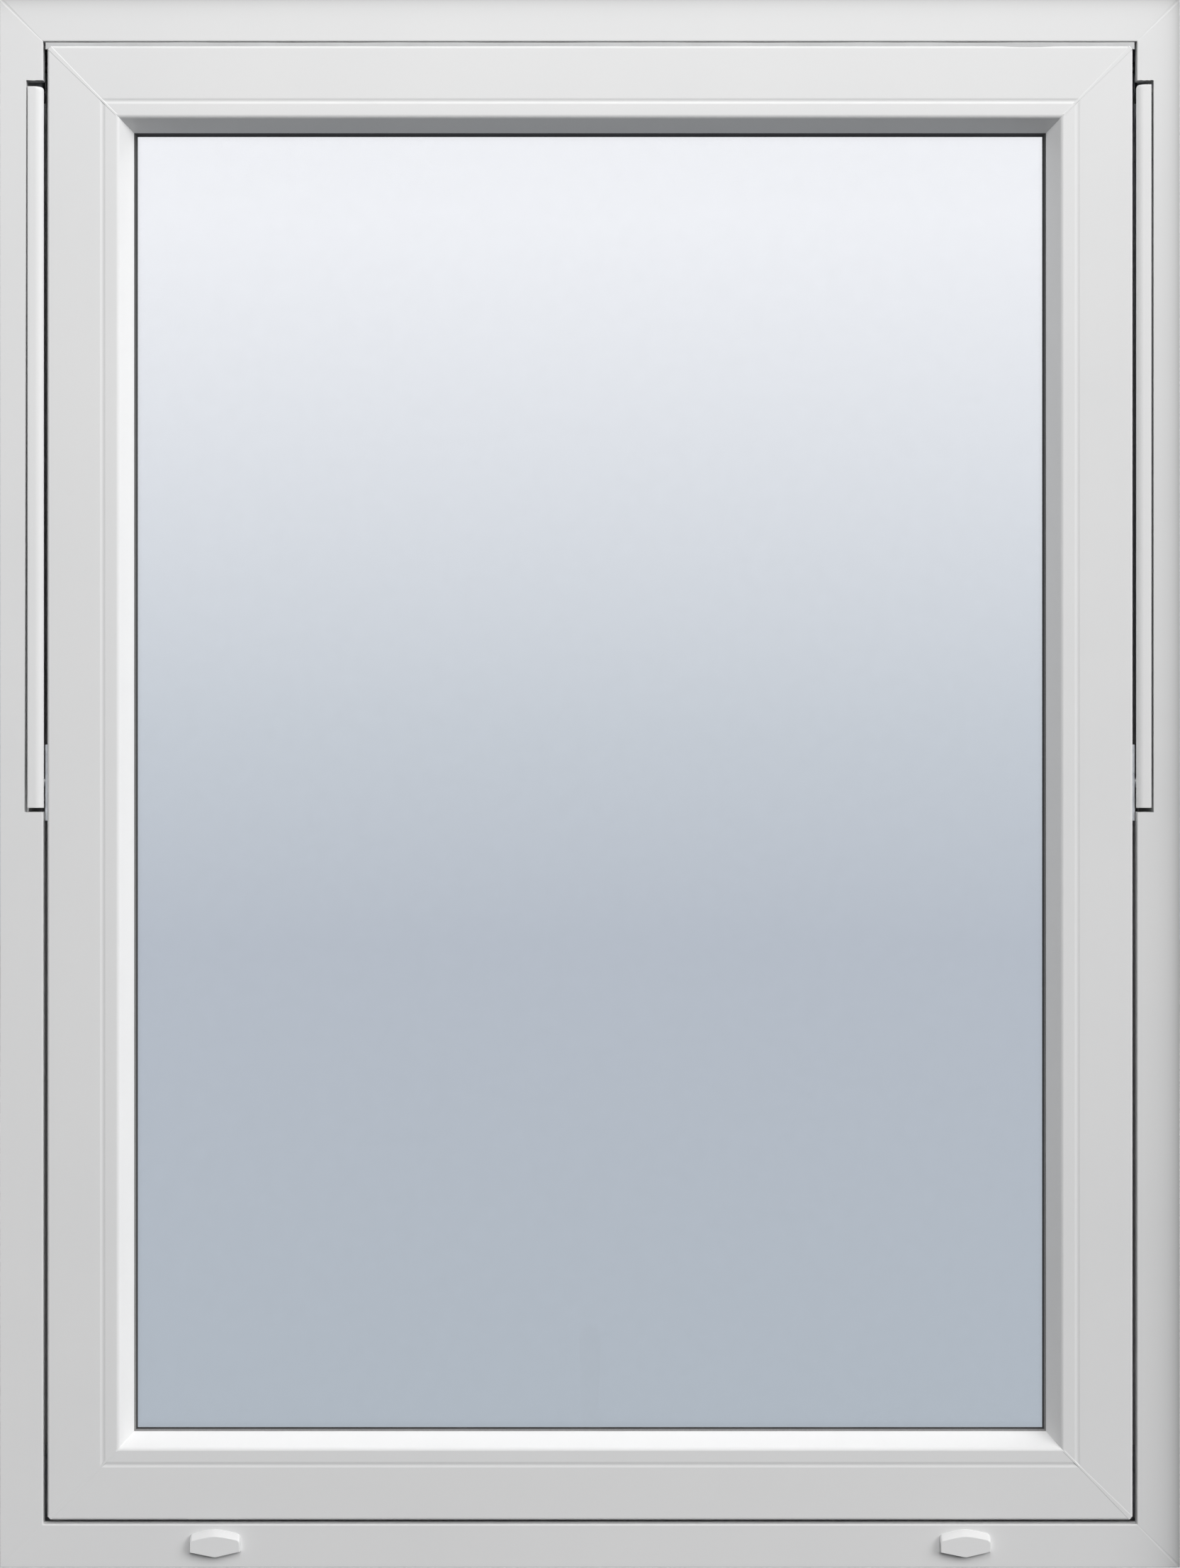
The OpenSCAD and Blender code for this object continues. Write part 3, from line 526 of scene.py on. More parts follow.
def sash_weld(d, r):
    """A flattened weld bead that also fills the decorative groove."""
    if d > 2.9 or r > SLOPE_FOOT - 1.9:
        return (d, r)
    return (-SASH_WELD_PROUD if d < 1.0 else d - SASH_WELD_PROUD, r)


def sash_weld_width(r):
    return 0.8 + 1.7 * max(0.0, 1 - r / 14.0)


def member(side, rect, outline, weld, weld_width, ramp):
    """A length of profile between two mitres, its section changing where it was welded."""
    place = on_side(side, rect)
    half = side_length(side, rect) / 2
    welded = [weld(*p) for p in outline]
    wide = [weld_width(p[1]) for p in outline]
    steps = []
    steps.append([(r, d, r) for d, r in welded])
    steps.append([(r + s, d, r) for (d, r), s in zip(welded, wide)])
    steps.append([(r + s + ramp, d, r) for (d, r), s in zip(outline, wide)])
    rings = [[place(-half + inset, d, r) for inset, d, r in step] for step in steps]
    rings += [[place(half - inset, d, r) for inset, d, r in step] for step in reversed(steps)]
    return loft(rings)


def ragged(x0, x1, z, reach, seed, n=9):
    """Points of a rough hand-cut edge from x0 to x1 at height z."""
    rng = random.Random(seed)
    return [(x0 + (x1 - x0) * i / n, z + reach * (rng.random() - 0.5)) for i in range(n + 1)]


NOTCH_TOP = 1247.5
NOTCH_BOTTOM = 633.5
NOTCH_ROUGH_TOP = 0.45
NOTCH_ROUGH_BOTTOM = 0.4
NOTCH_SLANT_LEFT = 1.6


def notch(sign, slant):
    """The hand-cut opening in the lip that lets an arm swing out."""
    edge = WINDOW_W / 2
    inner = edge - FACE_W - 2
    wall = edge - FLOOR_H
    upper = ragged(wall, inner, NOTCH_TOP, NOTCH_ROUGH_TOP, 7 + sign)
    lower = ragged(inner, wall + slant, NOTCH_BOTTOM, NOTCH_ROUGH_BOTTOM, 17 + sign)
    return prism([(sign * x, z) for x, z in upper + lower], -1.0, LIP_T + 1.2)


FIXING_RADIUS = 3.75
FIXING_SET = 57.0
FIXING_SPACING = 458.0
FIXING_DROP_RIGHT = 16.0


def fixing_cuts(sign):
    """Through holes for the wall screws, level with the CAD's."""
    middle = WINDOW_H / 2 - (FIXING_DROP_RIGHT if sign > 0 else 0.0)
    ends = (-WINDOW_W / 2 - 1, -WINDOW_W / 2 + FLOOR_H + 1)
    steps = [(-sign * along, FIXING_RADIUS) for along in ends]
    places = [(0.0, FRONT + FIXING_SET, middle + i * FIXING_SPACING) for i in (-1, 0, 1)]
    return [turned("x", place, steps) for place in places]


# Slots in the sill as (x, front, back, low, high): behind the caps, and down through the floor.
DRAIN_SLOTS = ((314.5, -1, 6, 12, 16), (190.0, 16, 20, 15, FLOOR_H + 1))
DRAIN_HALF_W = 14


FRAME_SIDES = {
    "frame_head": ("top", FRAME_X, []),
    "frame_sill": ("bottom", FRAME_X, [
        block(s * x - DRAIN_HALF_W, s * x + DRAIN_HALF_W, d0, d1, z0, z1)
        for s in (-1, 1)
        for x, d0, d1, z0, z1 in DRAIN_SLOTS
    ]),
    "frame_jamb_left": ("left", FRAME_Z, [notch(-1, NOTCH_SLANT_LEFT)] + fixing_cuts(-1)),
    "frame_jamb_right": ("right", FRAME_Z, [notch(1, 0.0)] + fixing_cuts(1)),
}
for node, (side, material, cuts) in FRAME_SIDES.items():
    solid = member(side, FRAME_RECT, FRAME_OUTLINE, frame_weld, frame_weld_width, FRAME_WELD_RAMP)
    piece(node + "_profile", [solid], "frame", material, [node], cuts)


# ---------- sash ----------

SLOPE_R = 4.0
LINE_RISE = 46.5
GROOVE_DEEP = 0.44
HOOK_W = 2.2
HOOK_T = 2.6
GROOVE_FLOOR = 10.0
BEAD_SLOT_NEAR = 55.9
BEAD_SLOT_FAR = 59.1
BEAD_SLOT_FLOOR = REBATE_H - 4.1
SLOPE_ANGLE = math.degrees(math.atan2(SLOPE_DEPTH, SASH_FACE_W - SLOPE_FOOT))
SLOPE_START = SLOPE_FOOT - SLOPE_R * math.tan(math.radians(SLOPE_ANGLE / 2))
SASH_OUTLINE = (
    arc(2.2, 2.2, 2.2, 180, 270, 8)
    + [(GROOVE_NEAR - HOOK_W, 0.0), (GROOVE_NEAR - HOOK_W, HOOK_T)]
    + [(GROOVE_NEAR, HOOK_T), (GROOVE_NEAR, GROOVE_FLOOR)]
    + [(GROOVE_FAR, GROOVE_FLOOR), (GROOVE_FAR, HOOK_T)]
    + [(GROOVE_FAR + HOOK_W, HOOK_T), (GROOVE_FAR + HOOK_W, 0.0)]
    + arc(SASH_DEPTH - 2, 2.0, 2.0, 270, 360, 8)
    + arc(SASH_DEPTH - 1, REBATE_H - 1, 1.0, 0, 90, 8)
    + [(BEAD_SLOT_FAR, REBATE_H), (BEAD_SLOT_FAR, BEAD_SLOT_FLOOR)]
    + [(BEAD_SLOT_NEAR, BEAD_SLOT_FLOOR), (BEAD_SLOT_NEAR, REBATE_H)]
    + [(GLASS_SET - 2, REBATE_H), (GLASS_SET - 2, SASH_FACE_W), (SLOPE_DEPTH + 0.3, SASH_FACE_W)]
    + [(SLOPE_DEPTH - 0.15, SASH_FACE_W - 0.1)]
    + arc(SLOPE_R, SLOPE_START, SLOPE_R, 180 - SLOPE_ANGLE, 180, 8)
    + [(0.0, LINE_RISE + 2.5), (0.06, LINE_RISE + 2.1)]
    + [(0.38, LINE_RISE + 0.8), (GROOVE_DEEP, LINE_RISE + 0.4)]
    + [(GROOVE_DEEP, LINE_RISE - 0.4), (0.38, LINE_RISE - 0.8)]
    + [(0.06, LINE_RISE - 2.1), (0.0, LINE_RISE - 2.5)]
)
CHAMFER = 3.1
CHAMFER_STEPS = ((-1.0, CHAMFER + 1.8), (0.0, CHAMFER + 0.8), (0.7, CHAMFER), (70.0, CHAMFER))
CUT_MARGIN = 2.0


def corner_cuts(side):
    """Cutters that take the sharp outer corners off the two ends of a sash member."""
    cuts = []
    for sx in (-1, 1):
        for sz in (-1, 1):
            if side in ("left", "right") and sx != (1 if side == "right" else -1):
                continue
            if side in ("top", "bottom") and sz != (1 if side == "top" else -1):
                continue
            x, z = sx * SASH_W / 2, SASH_EDGE + SASH_H / 2 + sz * SASH_H / 2
            rings = []
            for depth, leg in CHAMFER_STEPS:
                out = CUT_MARGIN
                rings.append([
                    (x - sx * leg, FRONT + depth, z),
                    (x - sx * (leg + out), FRONT + depth, z + sz * out),
                    (x + sx * out, FRONT + depth, z + sz * out),
                    (x + sx * out, FRONT + depth, z - sz * (leg + out)),
                ])
            cuts.append(loft(rings))
    return cuts


SASH_SIDES = {
    "sash_top_rail": ("top", PLASTIC_X),
    "sash_bottom_rail": ("bottom", PLASTIC_X),
    "sash_stile_left": ("left", PLASTIC_Z),
    "sash_stile_right": ("right", PLASTIC_Z),
}
for node, (side, material) in SASH_SIDES.items():
    solid = member(side, SASH_RECT, SASH_OUTLINE, sash_weld, sash_weld_width, SASH_WELD_RAMP)
    cuts = corner_cuts(side)
    piece(node + "_profile", [solid], "sash", material, [node], cuts, angle=13)


# ---------- gaskets and seals ----------


def ring_solid(outline, rect):
    """A closed loop of profile round a rectangle, mitred at its corners."""
    w, h, z = rect
    rings = []
    for sx, sz in ((-1, -1), (1, -1), (1, 1), (-1, 1)):
        rings.append([(sx * (w / 2 - r), FRONT + d, z + h / 2 + sz * (h / 2 - r)) for d, r in outline])
    return loft(rings, closed=True)


RINGS = {
    "glazing_gasket_outer": (SASH_RECT, "sash", [
        (GLASS_SET - 2, SASH_FACE_W - 11), (GLASS_SET, SASH_FACE_W - 11), (GLASS_SET, SASH_FACE_W + 2.3),
        (GLASS_SET - 0.5, SASH_FACE_W + 2.55), (GLASS_SET - 1.1, SASH_FACE_W + 2.4),
        (GLASS_SET - 1.6, SASH_FACE_W + 1.9), (GLASS_SET - 2.3, SASH_FACE_W + 1.1),
        (SLOPE_DEPTH + 1.0, SASH_FACE_W + 0.55), (SLOPE_DEPTH + 0.7, SASH_FACE_W + 0.02),
        (GLASS_SET - 2, SASH_FACE_W)]),
    "glazing_gasket_inner": (SASH_RECT, "sash", [
        (GLASS_BACK, SASH_FACE_W - 11), (GLASS_BACK + 2, SASH_FACE_W - 11),
        (GLASS_BACK + 2, SASH_FACE_W - 1.2), (GLASS_BACK + 2.7, SASH_FACE_W - 0.2),
        (GLASS_BACK + 2.2, SASH_FACE_W + 0.5), (GLASS_BACK + 1.1, SASH_FACE_W + 1.1),
        (GLASS_BACK, SASH_FACE_W + 1.3)]),
    "frame_gasket": (FRAME_RECT, "frame",
        [(STOP_SET + 3.8, 41.2), (STOP_SET + 3.8, 43.2), (STOP_SET, 43.2), (STOP_SET, 43.6)]
        + arc(STOP_SET - 0.1, 42.2, 1.4, 90, 270, 10)
        + [(STOP_SET, 40.8), (STOP_SET, 41.2)]),
}
for node, (rect, body, outline) in RINGS.items():
    material = GLAZING_RUBBER if node == "glazing_gasket_outer" else GASKET
    piece(node + "_ring", [ring_solid(outline, rect)], body, material, [node])


SEAL_FORWARD = 3.4
SEAL_TALLER = 1.0
SEAL_LONGER = 3.5
SEAL_BASE = -1.0
BULGE_X = 368
BULGE_REACH = 19.0


def head_seal():
    """The pale fin on the sash's top edge, a little wavy, and bulging where it was pushed in badly."""
    start, end = low("head_seal"), high("head_seal")
    x0, x1 = start[0] - SEAL_LONGER, end[0] + SEAL_LONGER
    d0, d1 = start[1] - FRONT - SEAL_FORWARD, end[1] - FRONT
    rise = end[2] - start[2] + SEAL_TALLER
    shoulder = SASH_W / 2 - CHAMFER
    count = 150
    rings = []
    for i in range(count + 1):
        x = x0 + (x1 - x0) * i / count
        wave = 0.63 * math.sin(x / 31.0) + 0.37 * math.sin(x / 9.0 + 1.3)
        bulge = math.exp(-((x - BULGE_X) / BULGE_REACH) ** 4)
        top = rise * (0.93 + 0.035 * wave)
        front = d0 - 0.75 * bulge - 0.1 * wave
        drop = min(2.0, 0.8 * max(0.0, abs(x) - shoulder))
        base = SEAL_BASE - 0.45 * bulge - drop
        section = [(front, base), (d1, 0.02 - drop)]
        section += arc(d1 - 0.8, top - 0.8, 0.8, 0, 90, 4)
        section += arc(front + 0.6, top - 0.6, 0.6, 90, 180, 5)
        rings.append([(x, FRONT + d, start[2] + r) for d, r in section])
    return loft(rings)


piece("head_seal_fin", [head_seal()], "sash", SEAL, ["head_seal"], angle=60)


# ---------- arm covers ----------


COVER_OUTER = {-1: 22.9, 1: 23.8}
COVER_INNER = 36.2
COVER_RAISED = {-1: 0.0, 1: 1.6}
COVER_FLAT = 6.3
COVER_ROLL = 9.0
COVER_CORNER = 3.4
COVER_BACK = 3.8
COVER_SKIN = 2.2
LEG_OUTER = 27.6
LEG_INNER = 30.9
LEG_TOP_DROP = PIVOT_DROP + 58
LEG_LOW_RISE = 16


def arm_cover(node):
    """The moulded strip over the notch: flat on its outer part, rolled over towards the sash."""
    a, b = low(node), high(node)
    sign = -1 if a[0] < 0 else 1
    outer = COVER_OUTER[sign]
    full = COVER_INNER - outer
    edge = WINDOW_W / 2
    bottom, top = a[2], b[2] + COVER_RAISED[sign]
    face = [(0.45, 0.0), (0.15, 0.15), (0.0, 0.5), (0.0, 3.0), (0.0, COVER_FLAT)]
    for i in range(1, 11):
        x = COVER_FLAT + (full - COVER_FLAT) * i / 10
        fall = COVER_ROLL - math.sqrt(max(0.0, COVER_ROLL**2 - (x - COVER_FLAT) ** 2))
        face.append((fall, x))
    face += [(COVER_BACK, full - 0.1), (COVER_BACK, full - 1.6), (COVER_SKIN, full - 3.2)]
    face += [(COVER_SKIN, 1.7), (COVER_BACK, 1.5), (COVER_BACK, 0.0)]
    stations = [bottom, bottom + 0.12, bottom + 0.5]
    stations += [bottom + 40 * i for i in range(1, 15)]
    stations += [top - COVER_CORNER * (1 - math.sin(math.radians(turn))) for turn in range(0, 91, 9)]
    rings = []
    for z in stations:
        into = max(0.0, z - (top - COVER_CORNER))
        width = full - (COVER_CORNER - math.sqrt(max(0.0, COVER_CORNER**2 - into**2)))
        end = min(z - bottom, top - z)
        drop = 0.5 - math.sqrt(max(0.0, 0.25 - (0.5 - min(0.5, end)) ** 2))
        ring = []
        for d, x in face:
            x = outer + x * width / full
            ring.append((sign * (edge - x), FRONT + d + (drop if d < 2.0 else 0.0), z))
        rings.append(ring)
    leg = block(sign * (edge - LEG_OUTER), sign * (edge - LEG_INNER), 2.0, 16.0,
                WINDOW_H / 2 + LEG_LOW_RISE, WINDOW_H - LEG_TOP_DROP)
    return [loft(rings), leg]


for side in ("left", "right"):
    node = "arm_cover_" + side
    body = "arm_" + side
    piece(node + "_strip", arm_cover(node), body, TRIM, [node])


# ---------- drain caps ----------


# Sections of the hood from its foot to its face: (shrink, drop, lift, depth), depths of the last two
# taken from how far the CAD's cap stands proud.
CAP_STEPS = [
    (0.0, 0.0, 0.1, -0.05), (0.0, 0.0, 0.1, -1.0), (0.0, 0.25, 0.1, -1.5), (0.02, 1.4, 0.1, -2.7),
    (0.06, 2.5, 0.1, -3.8), (0.15, 3.4, 0.1, -4.6),
]
CAP_FACE_STEPS = [(0.4, 4.0, 0.15, 0.3), (0.9, 4.5, 0.4, 0.0)]
CAP_LEAN = -1.6


def drain_cap(node):
    """A hood over a drain slot: a soft-edged lozenge, a little crooked, hollow behind."""
    a, b = low(node), high(node)
    cx, cz = (a[0] + b[0]) / 2, (a[2] + b[2]) / 2
    half_w = (b[0] - a[0]) / 2
    half_h = (b[2] - a[2]) / 2
    proud = FRONT - a[1]
    side_h = half_h - 4.4
    count = 32
    lean = math.radians(CAP_LEAN)
    c, s = math.cos(lean), math.sin(lean)

    def outline(shrink, drop, lift):
        """Over the top from right to left, then down and along the V underneath."""
        w = half_w - 0.35 - shrink
        points = []
        for i in range(count + 1):
            t = math.cos(math.pi * i / count)
            peak = (half_h - side_h) * (1 - abs(t) ** 1.4)
            corner = 1.5 * max(0.0, (abs(t) - 0.9) / 0.1) ** 2
            points.append((t * w, side_h + peak - corner - drop * (1.12 - 0.12 * abs(t))))
        return points + [(-w, -side_h + lift), (0.0, -half_h + lift), (w, -side_h + lift)]

    def ring(points, d):
        return [(cx + x * c + z * s, FRONT + d, cz - x * s * 0.5 + z * c) for x, z in points]

    steps = CAP_STEPS + [(*step[:3], step[3] - proud) for step in CAP_FACE_STEPS]
    hood = loft([ring(outline(*step[:3]), step[3]) for step in steps])
    hollow = block(cx - 17, cx + 17, -proud + 1.8, 1.0, cz - half_h - 2, cz + 3.0)
    return hood, hollow


for node in ("drain_cap_left", "drain_cap_right"):
    hood, hollow = drain_cap(node)
    piece(node + "_hood", [hood], "frame", TRIM, [node], [hollow])


# ---------- handle ----------


GRIP_THICK = 5.5
GRIP_AXIS_RISE = 9.5
GRIP_ROUNDING = 9.0


def superellipse(cx, cy, half_w, half_t, z, power=3.2, n=40):
    ring = []
    for i in range(n):
        a = 2 * math.pi * i / n
        c, s = math.cos(a), math.sin(a)
        x = math.copysign(abs(c) ** (2 / power), c) * half_w
        y = math.copysign(abs(s) ** (2 / power), s) * half_t
        ring.append((cx + x, cy + y, z))
    return ring


def handle_grip(node):
    """The lever's waisted grip, rounded at both ends, and the turned neck that joins it to the rose."""
    a, b = low(node), high(node)
    bottom, top = a[2], b[2]
    back = b[1]
    axis_z = bottom + GRIP_AXIS_RISE
    rings = []
    count = 44
    for i in range(count + 1):
        u = i / count
        z = bottom + (top - bottom) * (0.5 - 0.5 * math.cos(math.pi * u))
        t = (z - bottom) / (top - bottom)
        cap = min(1.0, (z - bottom) / GRIP_ROUNDING, (top - z) / GRIP_ROUNDING)
        round_off = math.sqrt(max(0.0, 1 - (1 - max(0.02, cap)) ** 2))
        waist = 9.4 - 1.5 * math.sin(math.pi * min(1.0, t * 1.1)) ** 2
        depth = (GRIP_THICK - 0.5 * t) * (0.55 + 0.45 * round_off)
        centre_y = back - GRIP_THICK - 0.6 * math.sin(math.pi * t)
        rings.append(superellipse(0.0, centre_y, waist * round_off, depth, z))
    neck_start = SASH_HIGH[1] + 0.3
    neck = turned("y", (0.0, 0.0, axis_z), [
        (neck_start, 8.2), (neck_start + 0.4, 8.5), (neck_start + 12, 8.3), (neck_start + 24, 7.7),
        (neck_start + 32, 7.7), (neck_start + 36, 8.4), (back - 7.0, 8.6), (back - 4.0, 8.0)])
    return loft(rings), neck


def build_handle():
    grip, neck = handle_grip("handle_lever")
    obj = mesh_object("handle_lever_grip", [grip])
    carve(obj, [neck], "UNION")
    polish(obj, 40)
    obj.data.materials.clear()
    obj.data.materials.append(LACQUER)
    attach(obj, "handle")
    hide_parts("handle_lever")


SCREW_X = 21.5
SPINDLE_BORE = 8.65


def rose_solid(node):
    """The rounded rose plate, and the cutters for its bore and its two screw recesses."""
    a, b = low(node), high(node)
    half_w = (b[0] - a[0]) / 2
    radius = (b[2] - a[2]) / 2
    cz = (a[2] + b[2]) / 2
    rings = []
    steps = ((a[1], 0.0), (b[1] - 2.2, 0.0), (b[1] - 1.3, 0.25), (b[1] - 0.5, 0.9), (b[1], 2.2))
    for y, shrink in steps:
        ring = []
        for s in (1, -1):
            for k in range(17):
                t = math.radians(-90 + 180 * k / 16)
                r = radius - shrink
                ring.append((s * (half_w - radius + r * math.cos(t)), y, cz + s * r * math.sin(t)))
        rings.append(ring)
    cuts = [turned("y", (0, 0, cz), [(a[1] - 1, SPINDLE_BORE), (b[1] + 1, SPINDLE_BORE)])]
    for s in (-1, 1):
        cuts.append(turned("y", (s * SCREW_X, 0, cz), [
            (a[1] - 1, 2.6), (a[1] + 6, 2.6), (a[1] + 6.01, 4.5), (b[1] + 1, 4.5)]))
    return loft(rings), cuts


build_handle()
rose, rose_cuts = rose_solid("handle_rose")
piece("handle_rose_cover", [rose], "sash", LACQUER, ["handle_rose"], rose_cuts)


# ---------- glazing beads ----------

BEAD_SET = GLASS_BACK + 2
BEAD_OUTLINE = (
    [(BEAD_SET, REBATE_H + 0.1), (56.0, REBATE_H + 0.1), (56.0, REBATE_H - 3.8)]
    + [(59.0, REBATE_H - 3.8), (59.0, REBATE_H + 0.1), (SASH_DEPTH, REBATE_H + 0.1)]
    + arc(SASH_DEPTH - 2, SASH_FACE_W - 9, 2.0, 0, 60, 6)
    + arc(BEAD_SET + 2, SASH_FACE_W - 2.2, 2.0, 60, 180, 8)
)
BEAD_SIDES = {"top": PLASTIC_X, "bottom": PLASTIC_X, "left": PLASTIC_Z, "right": PLASTIC_Z}
BEAD_MITRE = 0.3
for side, material in BEAD_SIDES.items():
    solid = member(side, SASH_RECT, BEAD_OUTLINE, lambda d, r: (d, r), lambda r: BEAD_MITRE, BEAD_MITRE)
    node = "glazing_bead_" + side
    piece(node + "_strip", [solid], "sash", material, [node])


# ---------- CAD nodes that keep their shape ----------


def edge_softener():
    """A node group that joins a CAD mesh's split corners and shades it smooth below an angle."""
    group = bpy.data.node_groups.new("join_and_shade", "GeometryNodeTree")
    group.interface.new_socket("Geometry", in_out="INPUT", socket_type="NodeSocketGeometry")
    group.interface.new_socket("Geometry", in_out="OUTPUT", socket_type="NodeSocketGeometry")
    start = group.nodes.new("NodeGroupInput")
    join = group.nodes.new("GeometryNodeMergeByDistance")
    join.inputs["Distance"].default_value = 2e-6
    faces = group.nodes.new("GeometryNodeSetShadeSmooth")
    edges = group.nodes.new("GeometryNodeSetShadeSmooth")
    edges.domain = "EDGE"
    angle = group.nodes.new("GeometryNodeInputMeshEdgeAngle")
    limit = group.nodes.new("FunctionNodeCompare")
    limit.operation = "LESS_THAN"
    limit.inputs["B"].default_value = math.radians(32)
    end = group.nodes.new("NodeGroupOutput")
    link = group.links.new
    link(start.outputs[0], join.inputs["Geometry"])
    link(join.outputs[0], faces.inputs["Geometry"])
    link(faces.outputs[0], edges.inputs["Geometry"])
    link(angle.outputs["Unsigned Angle"], limit.inputs["A"])
    link(limit.outputs[0], edges.inputs["Shade Smooth"])
    link(edges.outputs[0], end.inputs[0])
    return group


JOIN_AND_SHADE = edge_softener()


def carry(node, material, soften=0.25):
    """Keeps a CAD node's shape, with its edges eased and its own material."""
    obj = nodes[node]
    joined = obj.modifiers.new("join", "NODES")
    joined.node_group = JOIN_AND_SHADE
    if soften:
        bevel = obj.modifiers.new("eased_edges", "BEVEL")
        bevel.width = soften * MM
        bevel.segments = 2
        bevel.limit_method = "ANGLE"
        bevel.angle_limit = math.radians(38)
    even = obj.modifiers.new("even_normals", "WEIGHTED_NORMAL")
    even.keep_sharp = True
    obj.data.materials.clear()
    obj.data.materials.append(material)


CARRIED = {
    # The arm pivots take near-black steel as painted shade for the gaps beside the covers.
    SHADE_DARK_STEEL: ["arm_pivot_left", "arm_pivot_right"],
    ZINC: ["frame_steel", "bolt_keep_left", "bolt_keep_right",
           "frame_screws", "arm_left", "arm_right", "arm_cover_screws_left", "arm_cover_screws_right",
           "sash_steel", "sash_pivot_left", "sash_pivot_right", "shoe_bracket_left",
           "shoe_bracket_right", "sash_screws", "lock_case", "lock_faceplate", "handle_screws",
           "handle_spindle", "lock_pinion", "lock_rod_left", "lock_rod_right"],
    TRACK: ["guide_track_left", "guide_track_right"],
    SPACER: ["glass_spacer"],
    SEALANT: ["glass_edge_seal"],
    GASKET: ["setting_blocks"],
    NYLON: ["guide_shoe_left", "guide_shoe_right"],
    GLASS_OUT: ["glass_outer_pane"],
    GLASS_IN: ["glass_inner_pane"],
}
for material, names in CARRIED.items():
    for name in names:
        carry(name, material, 0.0 if "screws" in name or "steel" in name else 0.25)


# ---------- floor, light and camera ----------


def floor():
    """A pale disc to stand on, which the glass and the light's bounces don't see."""
    radius, count = 6.0, 96
    mesh = bpy.data.meshes.new("floor")
    turns = [2 * math.pi * i / count for i in range(count)]
    verts = [(radius * math.cos(a), radius * math.sin(a), 0.0) for a in turns]
    mesh.from_pydata(verts, [], [tuple(range(count))])
    obj = bpy.data.objects.new("floor", mesh)
    bpy.context.scene.collection.objects.link(obj)
    p = Paint("floor_pale")
    cloud = p.noise(1.5, 3.0, 0.5)
    p.colour(p.blend(p.range(cloud, 0.3, 0.7, 0.0, 1.0), grey(0.70), grey(0.73)))
    p.shader.inputs["Roughness"].default_value = 0.8
    mesh.materials.append(p.material)
    obj.visible_glossy = False
    obj.visible_transmission = False
    obj.visible_diffuse = False


# The surround from low to high: (upward part of the direction, linear colour).
SKY = [
    (-0.32, (0.41, 0.46, 0.51)),
    (-0.09, (0.46, 0.50, 0.56)),
    (-0.02, (0.55, 0.59, 0.64)),
    (0.15, (0.86, 0.87, 0.90)),
    (0.32, (0.87, 0.87, 0.88)),
]
SKY_LOW = -0.34
SKY_HIGH = 0.34
AMBIENT = 0.06
SKY_GAIN = 1.105


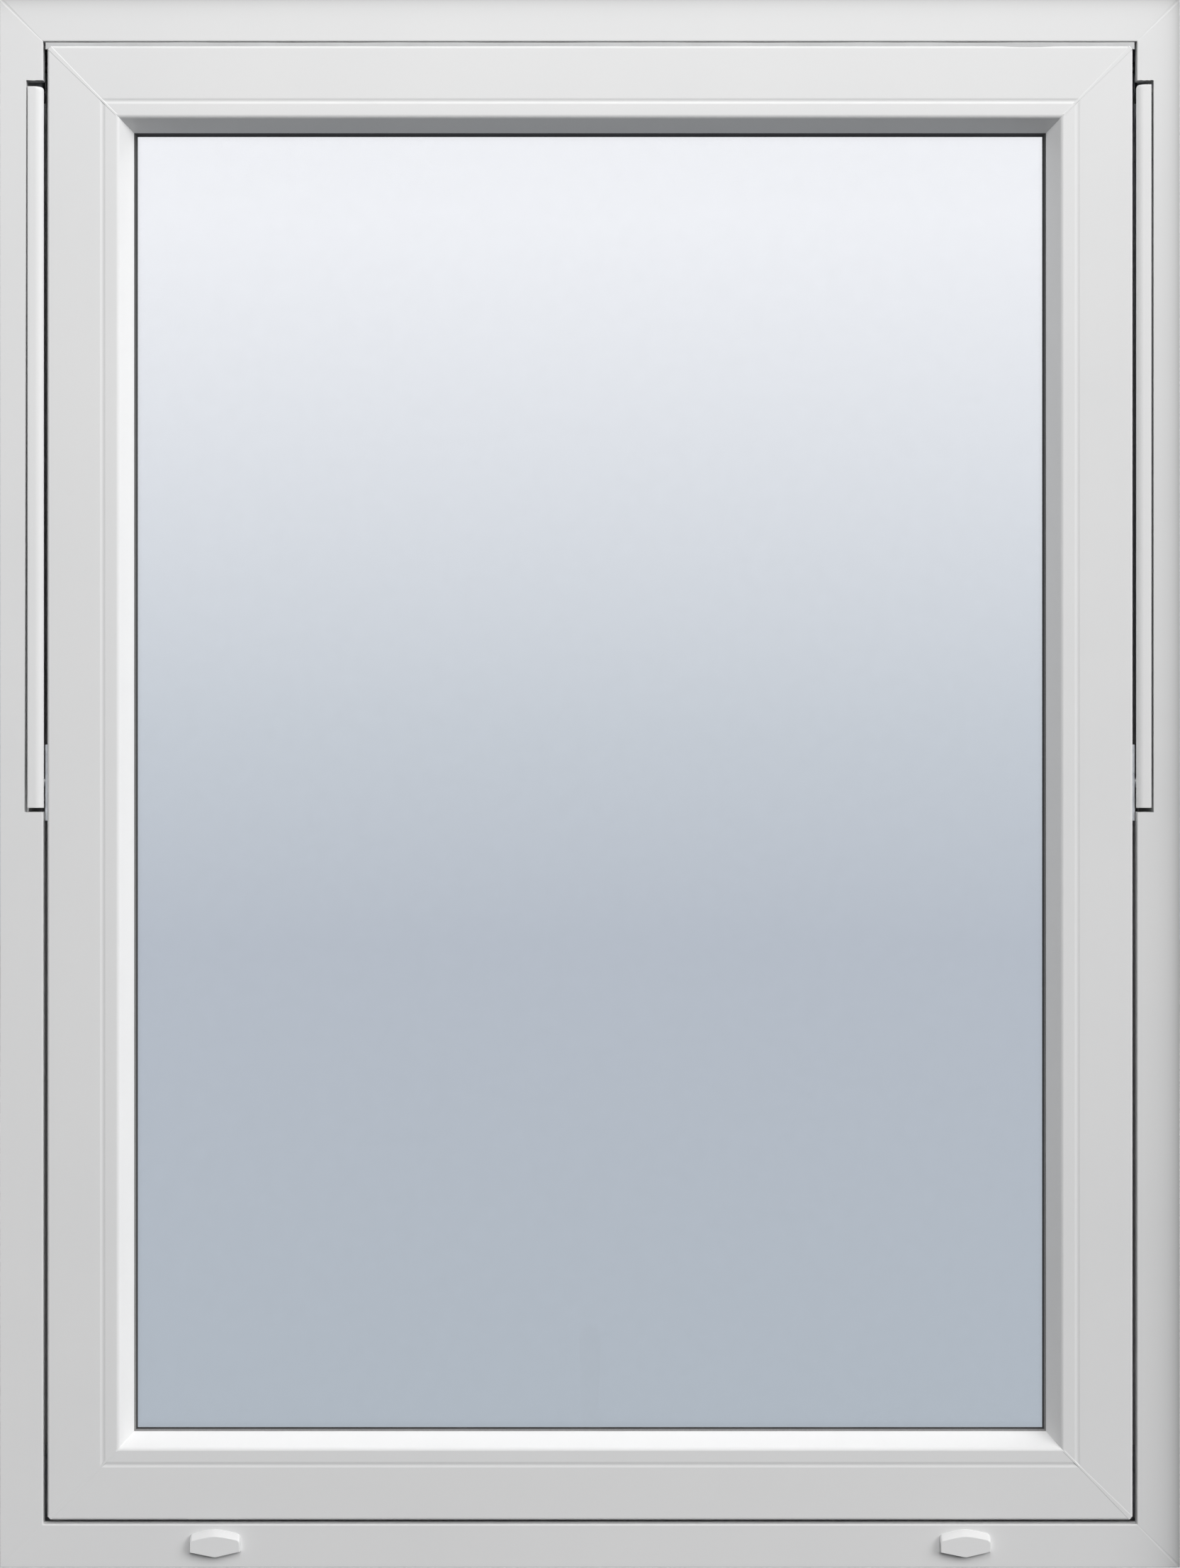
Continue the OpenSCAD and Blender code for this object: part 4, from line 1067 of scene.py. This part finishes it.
def world():
    """A pale studio surround that grows lighter from the horizon up."""
    made = bpy.data.worlds.new("studio")
    made.use_nodes = True
    tree = made.node_tree
    tree.nodes.clear()
    link = tree.links.new
    out = tree.nodes.new("ShaderNodeOutputWorld")
    place = tree.nodes.new("ShaderNodeTexCoord")
    spread = tree.nodes.new("ShaderNodeSeparateXYZ")
    link(place.outputs["Generated"], spread.inputs[0])
    span = tree.nodes.new("ShaderNodeMapRange")
    span.inputs["From Min"].default_value = SKY_LOW
    span.inputs["From Max"].default_value = SKY_HIGH
    link(spread.outputs[2], span.inputs["Value"])
    ramp = tree.nodes.new("ShaderNodeValToRGB")
    stops = ramp.color_ramp.elements
    while len(stops) < len(SKY):
        stops.new(0.5)
    for stop, (height, colour) in zip(stops, SKY):
        stop.position = (height - SKY_LOW) / (SKY_HIGH - SKY_LOW)
        stop.color = (*colour, 1.0)
    link(span.outputs[0], ramp.inputs[0])
    seen = tree.nodes.new("ShaderNodeBackground")
    link(ramp.outputs[0], seen.inputs[0])
    seen.inputs[1].default_value = SKY_GAIN
    soft = tree.nodes.new("ShaderNodeBackground")
    soft.inputs[0].default_value = (1.0, 1.0, 1.0, 1.0)
    soft.inputs[1].default_value = AMBIENT
    path = tree.nodes.new("ShaderNodeLightPath")
    mix = tree.nodes.new("ShaderNodeMixShader")
    link(path.outputs["Is Diffuse Ray"], mix.inputs[0])
    link(seen.outputs[0], mix.inputs[1])
    link(soft.outputs[0], mix.inputs[2])
    link(mix.outputs[0], out.inputs[0])
    bpy.context.scene.world = made


def area_light(name, place, aim, width, height, power):
    data = bpy.data.lights.new(name, "AREA")
    data.shape = "RECTANGLE"
    data.size, data.size_y = width, height
    data.energy = power
    obj = bpy.data.objects.new(name, data)
    bpy.context.scene.collection.objects.link(obj)
    obj.location = place
    obj.rotation_euler = (Vector(aim) - Vector(place)).to_track_quat("-Z", "Y").to_euler()


def sun_light(name, towards, strength, spread):
    """A distant soft light that lies in the direction towards, spread degrees across."""
    data = bpy.data.lights.new(name, "SUN")
    data.energy = strength
    data.angle = math.radians(spread)
    obj = bpy.data.objects.new(name, data)
    bpy.context.scene.collection.objects.link(obj)
    obj.rotation_euler = Vector(towards).to_track_quat("Z", "Y").to_euler()


def camera():
    """Level, square on, a little above the middle; the shift frames the window as seen."""
    distance = 2.5
    eye_z = 0.751
    view_h = 1.3153
    view_z = 0.6571
    data = bpy.data.cameras.new("camera")
    data.sensor_width = 36.0
    data.lens = 36.0 * distance / view_h
    data.shift_y = (view_z - eye_z) / view_h
    obj = bpy.data.objects.new("camera", data)
    bpy.context.scene.collection.objects.link(obj)
    obj.location = (0.0, FRONT * MM - distance, eye_z)
    obj.rotation_euler = (math.pi / 2, 0.0, 0.0)
    bpy.context.scene.camera = obj


floor()
world()
sun_light("key", (0.72, -0.51, 0.42), 1.60, 34.0)
sun_light("front", (0.04, -0.86, 0.49), 1.06, 34.0)
area_light("high_front", (0.18, -1.7, 2.35), (0.0, 0.0, 0.9), 1.6, 0.8, 17.5)
area_light("back", (-1.6, 2.8, 2.6), (0.0, 0.0, 0.6), 2.0, 1.6, 90)
area_light("back_side", (2.4, 2.4, 1.6), (0.0, 0.0, 0.6), 2.0, 1.6, 45)
camera()
bpy.context.scene.view_settings.view_transform = "Standard"
